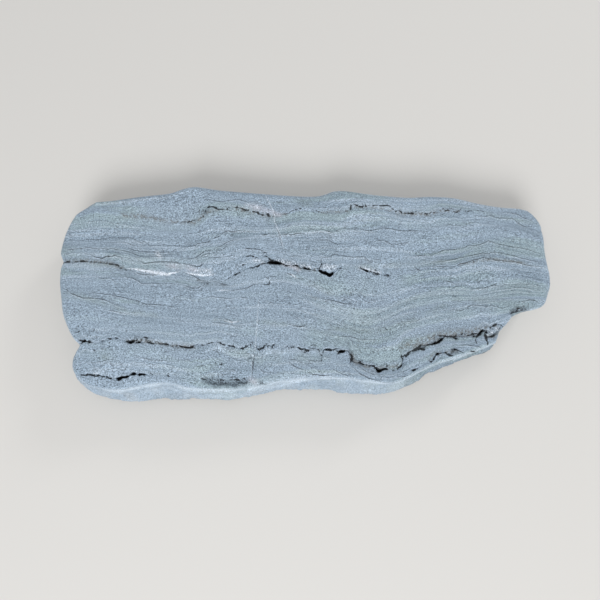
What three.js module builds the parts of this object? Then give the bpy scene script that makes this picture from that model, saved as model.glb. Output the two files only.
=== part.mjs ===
// Garden stepping stone: one slab of blue-grey banded schist, laid flat.
// Millimetres, +Z up. The origin is the middle of the flat underside.
// X runs along the bands. The layers stand steeply and lean out at the front (-Y),
// so the front is one long sloping face and the cracks follow the bands.

import * as THREE from 'three';

// ---- driving dimensions ----

const TREAD_HEIGHT = 94;        // underside to the middle of the tread
const EDGE_RADIUS = 10;         // worn rounding round the tread
const EDGE_DROP = 9;            // how far that rounding falls by the rim
const CROWN_ACROSS = 4;         // the tread falls this much from its middle to front and back
const CROWN_ALONG = 3;          // and this much from its middle to the two ends
const HALF_LENGTH = 532;
const HALF_WIDTH = 235;
const BACK_TUCK = 12;           // how far the back leans in under the rim
const END_TUCK = 5;             // and the two ends
const FOOT_HEIGHT = 11;         // where the side turns under
const FOOT_INSET = 9;           // how far it turns under
const SIDE_LUMP = 5;            // hollows and swellings of the sides, from their mean
const SIDE_STEP = 5;            // a ledge runs round the sides, where the upper layers split away
const BELLY = 2;                // the sides stand this much fuller between rim and foot
const CORE_LEFT = -300;         // ends of the line down the middle that the sides face away from
const CORE_RIGHT = 250;
const PARTLY_FACING = 0.1;      // an outward direction turned this far to front or back starts to lean
const FULLY_FACING = 0.8;       // and has the full lean from here on

// ---- lines seen from above, left to right: [x, y] ----

const BACK_EDGE = [
  [-464, 203], [-434, 205], [-390, 211], [-346, 217], [-301, 223], [-268, 234], [-246, 238],
  [-220, 235], [-189, 230], [-122, 224], [-54, 219], [-5, 216], [30, 217], [48, 222], [64, 228],
  [88, 229], [130, 223], [172, 217], [230, 212], [281, 214], [326, 212], [352, 207], [392, 197],
  [436, 190], [475, 187], [495, 182],
];
const BACK_LEDGE = [
  [-493, 168], [-458, 177], [-407, 172], [-363, 166], [-318, 156], [-279, 149], [-250, 152],
  [-230, 163], [-205, 185], [-154, 186], [-121, 179], [-81, 168], [-44, 175], [-11, 183],
  [33, 179], [88, 179], [106, 190], [160, 189], [190, 185], [216, 175], [271, 171], [298, 183],
  [350, 179], [386, 177], [429, 161], [472, 152], [513, 140],
];
const MIDDLE_BAND = [
  [-526, 108], [-440, 112], [-350, 107], [-220, 112], [-130, 122], [-45, 128], [0, 134],
  [110, 133], [185, 139], [225, 132], [290, 131], [340, 136], [400, 146], [460, 138], [519, 117],
];
const UPPER_CRACK = [
  [-525, 64], [-435, 62], [-404, 54], [-384, 46], [-334, 41], [-291, 39], [-237, 32], [-200, 28],
  [-155, 31], [-136, 45], [-93, 59], [-71, 62], [-43, 58], [-15, 52], [15, 43], [54, 31],
  [71, 46], [119, 48], [140, 40], [187, 32], [226, 41], [270, 52], [324, 56], [357, 68],
  [390, 75], [422, 70], [465, 63], [528, 52],
];
const GREEN_BAND = [
  [-519, -20], [-457, -33], [-393, -46], [-329, -52], [-222, -59], [-117, -55], [-32, -58],
  [32, -69], [84, -86], [126, -95], [169, -83], [201, -67], [265, -50], [329, -39], [394, -27],
  [448, -20], [512, -20],
];
const LOWER_CRACK = [
  [-476, -116], [-445, -107], [-410, -103], [-344, -112], [-279, -116], [-236, -121],
  [-226, -113], [-183, -110], [-151, -119], [-132, -124], [-111, -116], [-90, -124], [-76, -117],
  [-42, -120], [6, -130], [31, -126], [75, -130], [90, -129], [100, -143], [139, -161],
  [176, -166], [194, -164], [206, -149], [240, -126], [292, -102], [321, -103], [357, -99],
  [378, -89], [417, -84],
];
const FRONT_CRACK = [
  [-485, -178], [-446, -179], [-423, -180], [-404, -186], [-383, -184], [-361, -176],
  [-334, -178], [-280, -182], [-218, -188], [-176, -193], [-122, -191], [-85, -182], [-20, -168],
  [60, -168], [130, -179], [178, -184], [230, -153], [262, -144], [275, -140], [284, -129],
  [300, -125], [312, -130], [335, -124], [370, -113], [411, -98],
];
const FRONT_EDGE = [
  [-450, -202], [-420, -208], [-386, -210], [-350, -203], [-300, -196], [-275, -198],
  [-248, -205], [-217, -208], [-150, -208], [-110, -204], [-60, -194], [0, -186], [90, -186],
  [134, -191], [175, -196], [207, -189], [238, -173], [281, -154], [323, -141], [366, -127],
  [404, -112],
];

// How far the front face leans out between rim and foot: [x, run].
const FRONT_RUN = [
  [-440, 19], [-400, 21], [-360, 27], [-310, 30], [-275, 28], [-235, 22], [-200, 18], [-120, 17],
  [-85, 15], [-35, 17], [-5, 23], [50, 26], [150, 26], [190, 20], [215, 16], [245, 18], [270, 14],
  [360, 14], [400, 20],
];

// The two ends, from the back edge to the front edge, with a notch where each crack runs out.
const LEFT_END = [
  [-464, 203], [-482, 191], [-499, 179], [-510, 168], [-518, 154], [-525, 137], [-530, 119],
  [-532, 105], [-533, 90], [-531, 78], [-525, 64], [-529, 50], [-530, 34], [-529, 13], [-523, -20],
  [-517, -48], [-509, -70], [-499, -90], [-488, -105], [-476, -116], [-482, -130], [-488, -144],
  [-489, -160], [-482, -177], [-467, -191], [-450, -202],
];
const RIGHT_END = [
  [495, 182], [506, 172], [514, 161], [520, 148], [523, 134], [525, 116], [525, 96], [526, 78],
  [528, 60], [530, 42], [530, 24], [528, 8], [523, -6], [518, -20], [513, -29], [502, -36],
  [482, -41], [460, -42], [446, -46], [440, -58], [428, -72], [417, -84], [411, -98], [404, -112],
];

// ---- how wide each crack stands open: [x, width] ----

const UPPER_OPENING = [
  [-525, 4], [-480, 4], [-455, 3], [-430, 4], [-404, 3], [-384, 4], [-376, 0], [-160, 0],
  [-150, 2], [-135, 3], [-100, 3], [-84, 4], [-75, 8], [-62, 9], [-54, 6], [-45, 3], [-20, 2],
  [15, 3], [33, 4], [45, 9], [57, 11], [66, 6], [70, 0], [104, 0], [113, 5], [125, 6], [138, 3],
  [160, 3], [180, 2], [192, 0],
];
const LOWER_OPENING = [
  [-476, 7], [-462, 6], [-452, 2], [-380, 2], [-374, 6], [-360, 6], [-350, 3], [-335, 1],
  [-318, 3], [-300, 2], [-284, 3], [-254, 4], [-240, 6], [-232, 3], [-224, 1], [-181, 2],
  [-160, 1], [-152, 4], [-143, 1], [-134, 3], [-108, 2], [-94, 5], [-83, 2], [-75, 1], [-15, 1],
  [0, 2], [7, 4], [20, 1], [38, 3], [72, 3], [82, 6], [90, 3], [100, 6], [110, 3], [119, 5],
  [130, 3], [148, 4], [158, 7], [168, 4], [185, 3], [197, 3], [205, 6], [211, 2], [219, 7],
  [232, 4], [266, 4], [275, 5], [284, 9], [293, 9], [301, 4], [309, 3], [341, 3], [362, 4],
  [377, 8], [388, 4], [417, 5],
];
const FRONT_OPENING = [
  [-482, 0], [-476, 3], [-450, 4], [-425, 3], [-418, 2], [-412, 3], [-403, 5], [-393, 9],
  [-384, 9], [-371, 6], [-345, 6], [-334, 0], [-226, 0], [-214, 8], [-190, 11], [-160, 9],
  [-140, 10], [-126, 6], [-118, 0], [226, 0], [232, 4], [241, 4], [246, 0], [270, 0], [276, 4],
  [285, 5], [300, 5], [311, 4], [318, 0],
];

const LEAST_LIP = 1.6;          // half the width of a crack's strip where it is shut
const DEPTH_PER_WIDTH = 2.2;    // an open crack is this many times as deep as it is wide
const DEEPEST_CRACK = 26;
const PITS_LEFT = -230;         // between these the front crack is only a strip of shallow pits
const PITS_RIGHT = -110;
const PIT_DEPTH = 4;
const LEDGE_RISE = 3;           // the strip behind the back ledge stands this much proud
const LEDGE_RUN = 3;
const SHELF_DROP = 7;           // the right-hand shelf in front of the lower crack lies lower
const SHELF_START = 150;
const SHELF_FULL = 240;
const SHELF_BEHIND = 2;         // the drop to the shelf starts this far behind that crack
const SHELF_BEFORE = 4;         // and is done this far in front of it

// ---- mesh density ----

const COLUMNS = 88;
const RIM_COLUMNS = [0, 3, 9];  // mm in from each end, for the rounded rim
const STEP_SPREAD = 0.05;       // the ledge round the sides turns over this share of their height
const FOOT_TURNS = [0.4, 1];    // how far the foot has turned under at each of its rings
const HALVINGS = 30;            // steps of the search for where a line runs out

// A smooth line y(x) through points, level beyond its ends.
function smoothLine(points) {
  const slopes = points.map((point, i) => {
    const before = points[Math.max(i - 1, 0)];
    const after = points[Math.min(i + 1, points.length - 1)];
    return (after[1] - before[1]) / (after[0] - before[0]);
  });
  const last = points.length - 1;
  return (x) => {
    if (x <= points[0][0]) return points[0][1];
    if (x >= points[last][0]) return points[last][1];
    const i = points.findIndex((point) => point[0] > x) - 1;
    const width = points[i + 1][0] - points[i][0];
    const t = (x - points[i][0]) / width;
    const start = (1 + 2 * t) * (1 - t) ** 2 * points[i][1] + t * (1 - t) ** 2 * width * slopes[i];
    const end = t * t * (3 - 2 * t) * points[i + 1][1] - t * t * (1 - t) * width * slopes[i + 1];
    return start + end;
  };
}

// A polyline z(x) through points, for the openings, which start and stop sharply.
function straightLine(points) {
  return (x) => {
    const i = points.findIndex((point) => point[0] > x);
    if (i <= 0) return i === 0 ? points[0][1] : points[points.length - 1][1];
    const t = (x - points[i - 1][0]) / (points[i][0] - points[i - 1][0]);
    return THREE.MathUtils.lerp(points[i - 1][1], points[i][1], t);
  };
}

const backEdge = smoothLine(BACK_EDGE);
const backLedge = smoothLine(BACK_LEDGE);
const middleBand = smoothLine(MIDDLE_BAND);
const greenBand = smoothLine(GREEN_BAND);
const frontEdge = smoothLine(FRONT_EDGE);
const frontRun = smoothLine(FRONT_RUN);

const deepAll = () => DEEPEST_CRACK;
const deepOutsidePits = (x) => (x > PITS_LEFT && x < PITS_RIGHT ? PIT_DEPTH : DEEPEST_CRACK);
const cracks = [
  [UPPER_CRACK, UPPER_OPENING, deepAll],
  [LOWER_CRACK, LOWER_OPENING, deepAll],
  [FRONT_CRACK, FRONT_OPENING, deepOutsidePits],
].map(([line, opening, deepest]) => {
  const middle = smoothLine(line);
  const width = straightLine(opening);
  const lip = (x) => LEAST_LIP + width(x) / 2;
  return { middle, width, lip, deepest };
});
const [upperCrack, lowerCrack, frontCrack] = cracks;

// ---- rows across the tread, back to front ----

const along = (line, shift) => (x) => line(x) + shift;
const behindCrack = (crack) => (x) => crack.middle(x) + crack.lip(x);
const beforeCrack = (crack) => (x) => crack.middle(x) - crack.lip(x);

// Each entry is a line and how many plain rows lie between it and the next.
const GUIDES = [
  [backEdge, 0],
  [along(backEdge, -3), 0],
  [along(backEdge, -10), 1],
  [along(backLedge, LEDGE_RUN), 0],
  [along(backLedge, -LEDGE_RUN), 2],
  [middleBand, 3],
  [behindCrack(upperCrack), 0],
  [upperCrack.middle, 0],
  [beforeCrack(upperCrack), 4],
  [greenBand, 3],
  [behindCrack(lowerCrack), 0],
  [lowerCrack.middle, 0],
  [beforeCrack(lowerCrack), 2],
  [behindCrack(frontCrack), 0],
  [frontCrack.middle, 0],
  [beforeCrack(frontCrack), 1],
  [frontEdge, 0],
];

// Where a guide line runs out at an end of the stone, as a share of that end's length.
function shareAtEnd(end, line) {
  let low = 0;
  let high = 1;
  for (let halving = 0; halving < HALVINGS; halving += 1) {
    const share = (low + high) / 2;
    const point = end.getPointAt(share);
    if (point.y > line(point.x)) low = share;
    else high = share;
  }
  return low;
}

const leftEnd = new THREE.SplineCurve(LEFT_END.map(([x, y]) => new THREE.Vector2(x, y)));
const rightEnd = new THREE.SplineCurve(RIGHT_END.map(([x, y]) => new THREE.Vector2(x, y)));

const guides = GUIDES.map(([line, between], i) => {
  const first = i === 0;
  const last = i === GUIDES.length - 1;
  const atLeft = first ? 0 : last ? 1 : shareAtEnd(leftEnd, line);
  const atRight = first ? 0 : last ? 1 : shareAtEnd(rightEnd, line);
  return { line, between, atLeft, atRight };
});

const END_PULL = 60;   // a row bends to meet the end's outline over this length

function makeRow(guide, next, share) {
  const { lerp, clamp } = THREE.MathUtils;
  const left = leftEnd.getPointAt(lerp(guide.atLeft, next.atLeft, share));
  const right = rightEnd.getPointAt(lerp(guide.atRight, next.atRight, share));
  const line = (x) => lerp(guide.line(x), next.line(x), share);
  const leftMiss = left.y - line(left.x);
  const rightMiss = right.y - line(right.x);
  const length = right.x - left.x;
  const nearEnd = RIM_COLUMNS.map((inset) => inset / length);
  const innermost = Math.max(...nearEnd);
  const plain = COLUMNS - 2 * nearEnd.length;
  const marks = [...nearEnd];
  for (let i = 1; i <= plain; i += 1) marks.push(lerp(innermost, 1 - innermost, i / (plain + 1)));
  marks.push(...nearEnd.map((mark) => 1 - mark).reverse());
  const row = [];
  marks.forEach((mark) => {
    const x = lerp(left.x, right.x, mark);
    const leftPull = clamp(1 - (x - left.x) / END_PULL, 0, 1) ** 2;
    const rightPull = clamp(1 - (right.x - x) / END_PULL, 0, 1) ** 2;
    row.push(new THREE.Vector2(x, line(x) + leftMiss * leftPull + rightMiss * rightPull));
  });
  return row;
}

const rows = [];
guides.forEach((guide, i) => {
  const next = guides[Math.min(i + 1, guides.length - 1)];
  for (let step = 0; step <= guide.between; step += 1) {
    rows.push(makeRow(guide, next, step / (guide.between + 1)));
  }
});

// ---- the rim, once round, counter-clockwise from the back left corner ----

const lastRow = rows.length - 1;
const lastColumn = rows[0].length - 1;
const rimCells = [];
for (let r = 0; r < lastRow; r += 1) rimCells.push([r, 0]);
for (let c = 0; c < lastColumn; c += 1) rimCells.push([lastRow, c]);
for (let r = lastRow; r > 0; r -= 1) rimCells.push([r, lastColumn]);
for (let c = lastColumn; c > 0; c -= 1) rimCells.push([0, c]);
const rim = rimCells.map(([r, c]) => rows[r][c]);

function distanceToRim(point) {
  const edge = new THREE.Vector2();
  const toPoint = new THREE.Vector2();
  let nearest = Infinity;
  rim.forEach((start, i) => {
    edge.subVectors(rim[(i + 1) % rim.length], start);
    toPoint.subVectors(point, start);
    const t = THREE.MathUtils.clamp(toPoint.dot(edge) / edge.lengthSq(), 0, 1);
    nearest = Math.min(nearest, toPoint.addScaledVector(edge, -t).length());
  });
  return nearest;
}

// ---- height of the tread ----

function crackDepth(x, y) {
  return cracks.reduce((depth, crack) => {
    const fromMiddle = Math.abs(y - crack.middle(x)) / crack.lip(x);
    const full = Math.min(DEPTH_PER_WIDTH * crack.width(x), crack.deepest(x));
    return Math.max(depth, full * Math.max(1 - fromMiddle, 0));
  }, 0);
}

// Broad dips and swells, a few millimetres deep.
function undulation(x, y) {
  const long = 1.6 * Math.sin(x / 95 + y / 210 + 0.6) * Math.cos(y / 62 - 0.4);
  const short = 0.8 * Math.sin(x / 41 - y / 60 + 2.1) * Math.sin(y / 24 + x / 300);
  return long + short;
}

function treadHeight(point) {
  const { x, y } = point;
  const { smoothstep } = THREE.MathUtils;
  const crown = CROWN_ACROSS * (y / HALF_WIDTH) ** 2 + CROWN_ALONG * (x / HALF_LENGTH) ** 2;
  const ledge = backLedge(x);
  const lower = lowerCrack.middle(x);
  const rise = LEDGE_RISE * smoothstep(y, ledge - LEDGE_RUN, ledge + LEDGE_RUN);
  const behindShelf = smoothstep(y, lower - SHELF_BEFORE, lower + SHELF_BEHIND);
  const inShelf = smoothstep(x, SHELF_START, SHELF_FULL) * (1 - behindShelf);
  const inset = THREE.MathUtils.clamp(1 - distanceToRim(point) / EDGE_RADIUS, 0, 1);
  const rounding = EDGE_DROP * (1 - Math.sqrt(1 - inset * inset));
  const level = TREAD_HEIGHT + undulation(x, y) + rise - crown;
  return level - SHELF_DROP * inShelf - rounding - crackDepth(x, y);
}

// ---- the side, from the rim down to the resting face ----

// Outward is straight away from a line down the middle of the stone.
function outward(point) {
  const nearest = new THREE.Vector2(THREE.MathUtils.clamp(point.x, CORE_LEFT, CORE_RIGHT), 0);
  return new THREE.Vector2().subVectors(point, nearest).normalize();
}

// How far the side has moved out by the time it reaches the foot.
function lean(point) {
  const { smoothstep } = THREE.MathUtils;
  const facing = outward(point).y;
  const front = smoothstep(-facing, PARTLY_FACING, FULLY_FACING);
  const back = smoothstep(facing, PARTLY_FACING, FULLY_FACING);
  return frontRun(point.x) * front - BACK_TUCK * back - END_TUCK * (1 - front - back);
}

function sideLump(point, z) {
  const slow = Math.sin(point.x / 47 + z / 31) * Math.cos(point.y / 38 - z / 44 + 1.2);
  const quick = Math.sin(point.x / 19 - point.y / 23 + z / 12);
  const fine = Math.sin(point.x / 8 + point.y / 11 - z / 9);
  return SIDE_LUMP * (0.6 * slow + 0.28 * quick + 0.12 * fine);
}

// How far down the side the ledge lies, as a share of its height.
function ledgeShare(point) {
  const { x, y } = point;
  return 0.42 + 0.15 * Math.sin(x / 120 + y / 90) + 0.05 * Math.sin(x / 31 - y / 70);
}

// How far the side stands out from the rim, this share of the way down to the foot.
function sideOut(point, share, z) {
  const leaning = lean(point);
  const ledge = ledgeShare(point);
  const below = THREE.MathUtils.smoothstep(share, ledge - STEP_SPREAD, ledge + STEP_SPREAD);
  const step = Math.sign(leaning) * SIDE_STEP * (below - share);
  const belly = BELLY * Math.sin(Math.PI * share);
  return (leaning + sideLump(point, z)) * share + step + belly;
}

// ---- one closed skin: tread, side rings, resting face ----

const positions = [];
const faces = [];
const addPoint = (x, y, z) => positions.push(x, y, z) / 3 - 1;
const addQuad = (a, b, c, d) => faces.push(a, b, c, a, c, d);

const tread = rows.map((row) => row.map((point) => addPoint(point.x, point.y, treadHeight(point))));
for (let r = 0; r < lastRow; r += 1) {
  for (let c = 0; c < lastColumn; c += 1) {
    addQuad(tread[r][c], tread[r + 1][c], tread[r + 1][c + 1], tread[r][c + 1]);
  }
}

const rimIds = rimCells.map(([r, c]) => tread[r][c]);
let ringAbove = rimIds;
const addRing = (place) => {
  const ring = rim.map((point, i) => {
    const side = outward(point);
    const { out, z } = place(point, positions[3 * rimIds[i] + 2]);
    return addPoint(point.x + side.x * out, point.y + side.y * out, z);
  });
  ring.forEach((id, i) => {
    const next = (i + 1) % ring.length;
    addQuad(ringAbove[i], id, ring[next], ringAbove[next]);
  });
  ringAbove = ring;
};

const SIDE_RINGS = [
  (ledge) => 0.5 * (ledge - STEP_SPREAD),
  (ledge) => ledge - STEP_SPREAD,
  (ledge) => ledge + STEP_SPREAD,
  (ledge) => 0.5 * (1 + ledge + STEP_SPREAD),
  () => 1,
];
SIDE_RINGS.forEach((shareAt) => addRing((point, rimZ) => {
  const share = shareAt(ledgeShare(point));
  const z = THREE.MathUtils.lerp(rimZ, FOOT_HEIGHT, share);
  return { out: sideOut(point, share, z), z };
}));
FOOT_TURNS.forEach((turned) => addRing((point) => ({
  out: sideOut(point, 1, FOOT_HEIGHT) - FOOT_INSET * turned,
  z: FOOT_HEIGHT * (1 - turned) ** 2,
})));

const restingOutline = ringAbove.map((id) => new THREE.Vector2(positions[3 * id], positions[3 * id + 1]));
THREE.ShapeUtils.triangulateShape(restingOutline, []).forEach(([a, b, c]) => {
  faces.push(ringAbove[c], ringAbove[b], ringAbove[a]);
});

const geometry = new THREE.BufferGeometry();
geometry.setAttribute('position', new THREE.Float32BufferAttribute(positions, 3));
geometry.setIndex(faces);

// The origin is the middle of the box round the stone, at the underside.
geometry.computeBoundingBox();
const middle = geometry.boundingBox.getCenter(new THREE.Vector3());
geometry.translate(-middle.x, -middle.y, 0);
geometry.computeVertexNormals();

const schist = new THREE.MeshStandardMaterial({
  name: 'blue_grey_schist',
  color: new THREE.Color().setRGB(0.59, 0.65, 0.7, THREE.SRGBColorSpace),
  roughness: 0.85,
  metalness: 0,
  flatShading: true,
});

const stone = new THREE.Mesh(geometry, schist);
stone.name = 'stepping_stone';

const object = new THREE.Group();
object.add(stone);
export default object;
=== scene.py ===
# %% [markdown]
# # A garden stepping stone
# One slab of blue-grey banded schist, about a metre long, laid flat. The solid that carries it is
# already packed as the frame. Here the slab gets its real skin: fine bands, cracks that stand
# open, a quartz vein, worn edges and a stone finish made only of shader nodes.

# %% Load the frame
import math

import bpy
import numpy as np
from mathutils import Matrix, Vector
from mathutils.kdtree import KDTree


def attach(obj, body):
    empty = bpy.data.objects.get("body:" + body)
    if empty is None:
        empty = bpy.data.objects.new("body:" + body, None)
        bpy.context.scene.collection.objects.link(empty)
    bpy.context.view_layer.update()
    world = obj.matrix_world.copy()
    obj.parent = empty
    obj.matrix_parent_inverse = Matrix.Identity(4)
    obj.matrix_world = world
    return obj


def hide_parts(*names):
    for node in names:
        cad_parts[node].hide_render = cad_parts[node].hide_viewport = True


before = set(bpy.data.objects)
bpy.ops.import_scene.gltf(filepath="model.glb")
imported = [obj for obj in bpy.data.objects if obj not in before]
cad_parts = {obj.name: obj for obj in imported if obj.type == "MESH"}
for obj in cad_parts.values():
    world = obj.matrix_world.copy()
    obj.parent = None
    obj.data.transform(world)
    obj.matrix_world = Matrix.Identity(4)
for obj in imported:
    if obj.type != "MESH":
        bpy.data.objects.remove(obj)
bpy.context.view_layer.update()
scene = bpy.context.scene
STONE = "stepping_stone"
MM = 0.001

# %% [markdown]
# ## The lines of the stone
# A banded rock is easiest to build the way it formed: layer on layer. The drawing below is a
# map from above, in millimetres. Each line follows one layer or one edge from left to right.
# The mesh rows will run along these lines, so a crack or a ledge never cuts across the mesh
# as a staircase. Sculpting the same cracks into an even grid would need many times the faces.
#
# FRONT_RUN is the odd one out: it says how far the front face runs out below the rim.

# %% Edges and layers, seen from above, in millimetres
BACK_EDGE = [
    (-464, 203), (-434, 205), (-390, 211), (-346, 217), (-301, 223), (-268, 234), (-246, 238),
    (-220, 235), (-189, 230), (-122, 224), (-54, 219), (-5, 216), (30, 217), (48, 222), (64, 228),
    (88, 229), (130, 223), (172, 217), (230, 212), (281, 214), (326, 212), (352, 207), (392, 197),
    (436, 190), (475, 187), (495, 182),
]
BACK_LEDGE = [
    (-493, 168), (-458, 177), (-407, 172), (-363, 166), (-318, 156), (-279, 149), (-250, 152),
    (-230, 163), (-205, 185), (-154, 186), (-121, 179), (-81, 168), (-44, 175), (-11, 183),
    (33, 179), (88, 179), (106, 190), (160, 189), (190, 185), (216, 175), (271, 171), (298, 183),
    (350, 179), (386, 177), (429, 161), (472, 152), (513, 140),
]
MIDDLE_BAND = [
    (-526, 108), (-440, 112), (-350, 107), (-220, 112), (-130, 122), (-45, 128), (0, 134),
    (110, 133), (185, 139), (225, 132), (290, 131), (340, 136), (400, 146), (460, 138), (519, 117),
]
LOW_BAND = [
    (-524, 94), (-480, 95), (-440, 95), (-421, 94), (-400, 90), (-382, 85), (-365, 78), (-345, 76),
    (-300, 77), (-270, 75), (-245, 74), (-230, 80), (-215, 89), (-190, 92), (-172, 97), (-155, 104),
    (-120, 108), (-80, 102), (-40, 98), (10, 94), (50, 96), (85, 90), (130, 90), (180, 88), (230, 82),
    (270, 80), (297, 86), (330, 91), (357, 99), (388, 105), (405, 109), (437, 101), (470, 95), (506, 86),
]
UPPER_CRACK = [
    (-525, 64), (-503, 63), (-478, 65), (-459, 63), (-422, 60), (-404, 57), (-397, 50), (-385, 46),
    (-334, 42), (-291, 38), (-237, 32), (-200, 26), (-168, 26), (-154, 34), (-136, 44), (-122, 51),
    (-99, 55), (-85, 61), (-68, 62), (-52, 60), (-40, 57), (-20, 55), (0, 49), (22, 45), (40, 40),
    (54, 35), (66, 44), (80, 49), (100, 46), (112, 47), (122, 48), (135, 43), (145, 39), (158, 36),
    (180, 35), (226, 41), (270, 52), (324, 56), (357, 68), (390, 75), (422, 70), (465, 63), (528, 52),
]
SAG_BAND = [
    (-529, 25), (-450, 26), (-400, 31), (-372, 28), (-351, 18), (-300, 16), (-262, 13), (-238, 6),
    (-215, 9), (-180, 6), (-150, 2), (-120, 6), (-80, 10), (-40, 12), (0, 2), (30, -11), (60, -21),
    (100, -29), (140, -34), (178, -25), (220, -8), (270, 2), (330, 6), (372, 3), (410, 10), (455, 16),
    (500, 7), (524, 1),
]
GREEN_BAND = [
    (-519, -20), (-457, -33), (-393, -46), (-329, -52), (-222, -59), (-117, -55), (-32, -58),
    (32, -69), (84, -86), (126, -95), (169, -83), (201, -67), (265, -50), (329, -39), (394, -27),
    (448, -20), (512, -20),
]
LOWER_CRACK = [
    (-476, -116), (-466, -108), (-452, -110), (-437, -111), (-427, -108), (-417, -104), (-398, -100),
    (-390, -104), (-371, -109), (-350, -110), (-326, -111), (-305, -113), (-282, -115), (-257, -119),
    (-240, -121), (-228, -114), (-213, -115), (-202, -112), (-178, -110), (-162, -115), (-136, -123),
    (-124, -119), (-114, -115), (-94, -125), (-82, -116), (-62, -117), (-47, -122), (-35, -118),
    (-13, -121), (4, -129), (12, -126), (24, -128), (33, -134), (40, -126), (60, -125), (72, -129),
    (88, -127), (94, -134), (98, -147), (112, -152), (143, -160), (153, -169), (168, -165), (182, -167),
    (192, -165), (201, -157), (206, -141), (217, -134), (234, -125), (251, -121), (268, -113),
    (283, -108), (293, -100), (322, -100), (357, -97), (368, -91), (377, -85), (392, -91), (417, -84),
]
FRONT_CRACK = [
    (-485, -178), (-443, -177), (-427, -179), (-411, -181), (-404, -184), (-388, -186), (-379, -183),
    (-368, -180), (-361, -176), (-348, -177), (-331, -177), (-280, -182), (-218, -190), (-176, -193),
    (-150, -195), (-122, -192), (-85, -182), (-20, -168), (60, -168), (130, -179), (178, -184),
    (228, -167), (240, -162), (266, -149), (273, -141), (278, -134), (293, -131), (302, -134),
    (311, -132), (317, -124), (324, -126), (335, -125), (370, -113), (411, -98),
]
FRONT_EDGE = [
    (-450, -202), (-420, -208), (-386, -210), (-350, -203), (-300, -196), (-275, -198),
    (-248, -205), (-217, -208), (-150, -208), (-110, -204), (-60, -194), (0, -186), (90, -186),
    (134, -191), (175, -196), (207, -189), (238, -173), (281, -154), (323, -141), (366, -127),
    (404, -112),
]
LEFT_END = [
    (-464, 203), (-482, 191), (-499, 179), (-510, 168), (-518, 154), (-525, 137), (-530, 119),
    (-532, 105), (-533, 90), (-531, 78), (-525, 64), (-529, 50), (-530, 34), (-529, 13), (-523, -20),
    (-517, -48), (-509, -70), (-499, -90), (-488, -105), (-476, -116), (-482, -130), (-488, -144),
    (-489, -160), (-482, -177), (-467, -191), (-450, -202),
]
RIGHT_END = [
    (495, 182), (506, 172), (514, 161), (520, 148), (523, 134), (525, 116), (525, 96), (526, 78),
    (528, 60), (530, 42), (530, 24), (528, 8), (523, -6), (518, -20), (513, -29), (502, -36),
    (482, -41), (460, -42), (446, -46), (440, -58), (428, -72), (417, -84), (411, -98), (404, -112),
]
FRONT_RUN = [
    (-440, 19), (-400, 21), (-360, 27), (-310, 30), (-275, 28), (-235, 22), (-200, 18), (-120, 17),
    (-85, 15), (-35, 17), (-5, 23), (50, 26), (150, 26), (190, 20), (215, 16), (245, 18), (270, 14),
    (360, 14), (400, 20),
]


def smooth_line(points):
    """y(x) through the given points, level beyond its ends."""
    xs, ys = np.array(points, float).T
    before = np.maximum(np.arange(len(xs)) - 1, 0)
    after = np.minimum(np.arange(len(xs)) + 1, len(xs) - 1)
    slopes = (ys[after] - ys[before]) / (xs[after] - xs[before])

    def line(x):
        x = np.clip(x, xs[0], xs[-1])
        i = np.clip(np.searchsorted(xs, x, side="right") - 1, 0, len(xs) - 2)
        width = xs[i + 1] - xs[i]
        t = (x - xs[i]) / width
        start = (1 + 2 * t) * (1 - t) ** 2 * ys[i] + t * (1 - t) ** 2 * width * slopes[i]
        end = t * t * (3 - 2 * t) * ys[i + 1] - t * t * (1 - t) * width * slopes[i + 1]
        return start + end

    return line


def end_curve(points, steps=40):
    """A closely sampled Catmull-Rom curve through the points, with its length so far."""
    p = np.array(points, float)
    t = np.linspace(0, 1, steps, endpoint=False)[:, None]
    run = []
    for i in range(len(p) - 1):
        a, b, c, d = p[max(i - 1, 0)], p[i], p[i + 1], p[min(i + 2, len(p) - 1)]
        run.append(0.5 * (2 * b + (c - a) * t + (2 * a - 5 * b + 4 * c - d) * t**2
                          + (3 * b - a - 3 * c + d) * t**3))
    run = np.vstack([*run, p[-1]])
    length = np.concatenate([[0], np.cumsum(np.linalg.norm(np.diff(run, axis=0), axis=1))])
    return run, length / length[-1]


back_edge, back_ledge, middle_band = map(smooth_line, (BACK_EDGE, BACK_LEDGE, MIDDLE_BAND))
low_band, sag_band, green_band = map(smooth_line, (LOW_BAND, SAG_BAND, GREEN_BAND))
front_edge = smooth_line(FRONT_EDGE)
left_end, right_end = end_curve(LEFT_END), end_curve(RIGHT_END)
print("points along the two ends:", len(left_end[0]), "and", len(right_end[0]))

# %% [markdown]
# ## Chance, but the same chance every time
# Rock looks natural because nothing in it repeats. Two helpers give that: a ragged line, for
# things along a crack, and a ripple field, which adds up many slanted waves of about one
# wavelength. Both take a seed, so each run gives the same stone.

# %% Ragged lines and ripple fields
BEYOND_STONE = 560


def ragged(seed, spacing):
    """A random line of values between -1 and 1, with a new value every spacing mm."""
    stations = np.arange(-BEYOND_STONE, BEYOND_STONE + spacing, spacing)
    heights = np.random.default_rng(seed).uniform(-1, 1, len(stations))
    return lambda x: np.interp(x, stations, heights)


def ripple(u, v, wave_u, wave_v, seed, waves=18):
    """Random swells over u and v, with a spread of about 1 either side of 0."""
    rng = np.random.default_rng(seed)
    total = np.zeros(np.broadcast(u, v).shape)
    for _ in range(waves):
        angle = rng.uniform(0, 2 * math.pi)
        size = rng.uniform(0.7, 1.4)
        phase = rng.uniform(0, 2 * math.pi)
        turns = math.cos(angle) * size * u / wave_u + math.sin(angle) * size * v / wave_v
        total += np.sin(2 * math.pi * turns + phase)
    return total * math.sqrt(1 / waves)


def smoothstep(value, low, high):
    t = np.clip((value - low) / (high - low), 0, 1)
    return t * t * (3 - 2 * t)


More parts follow.
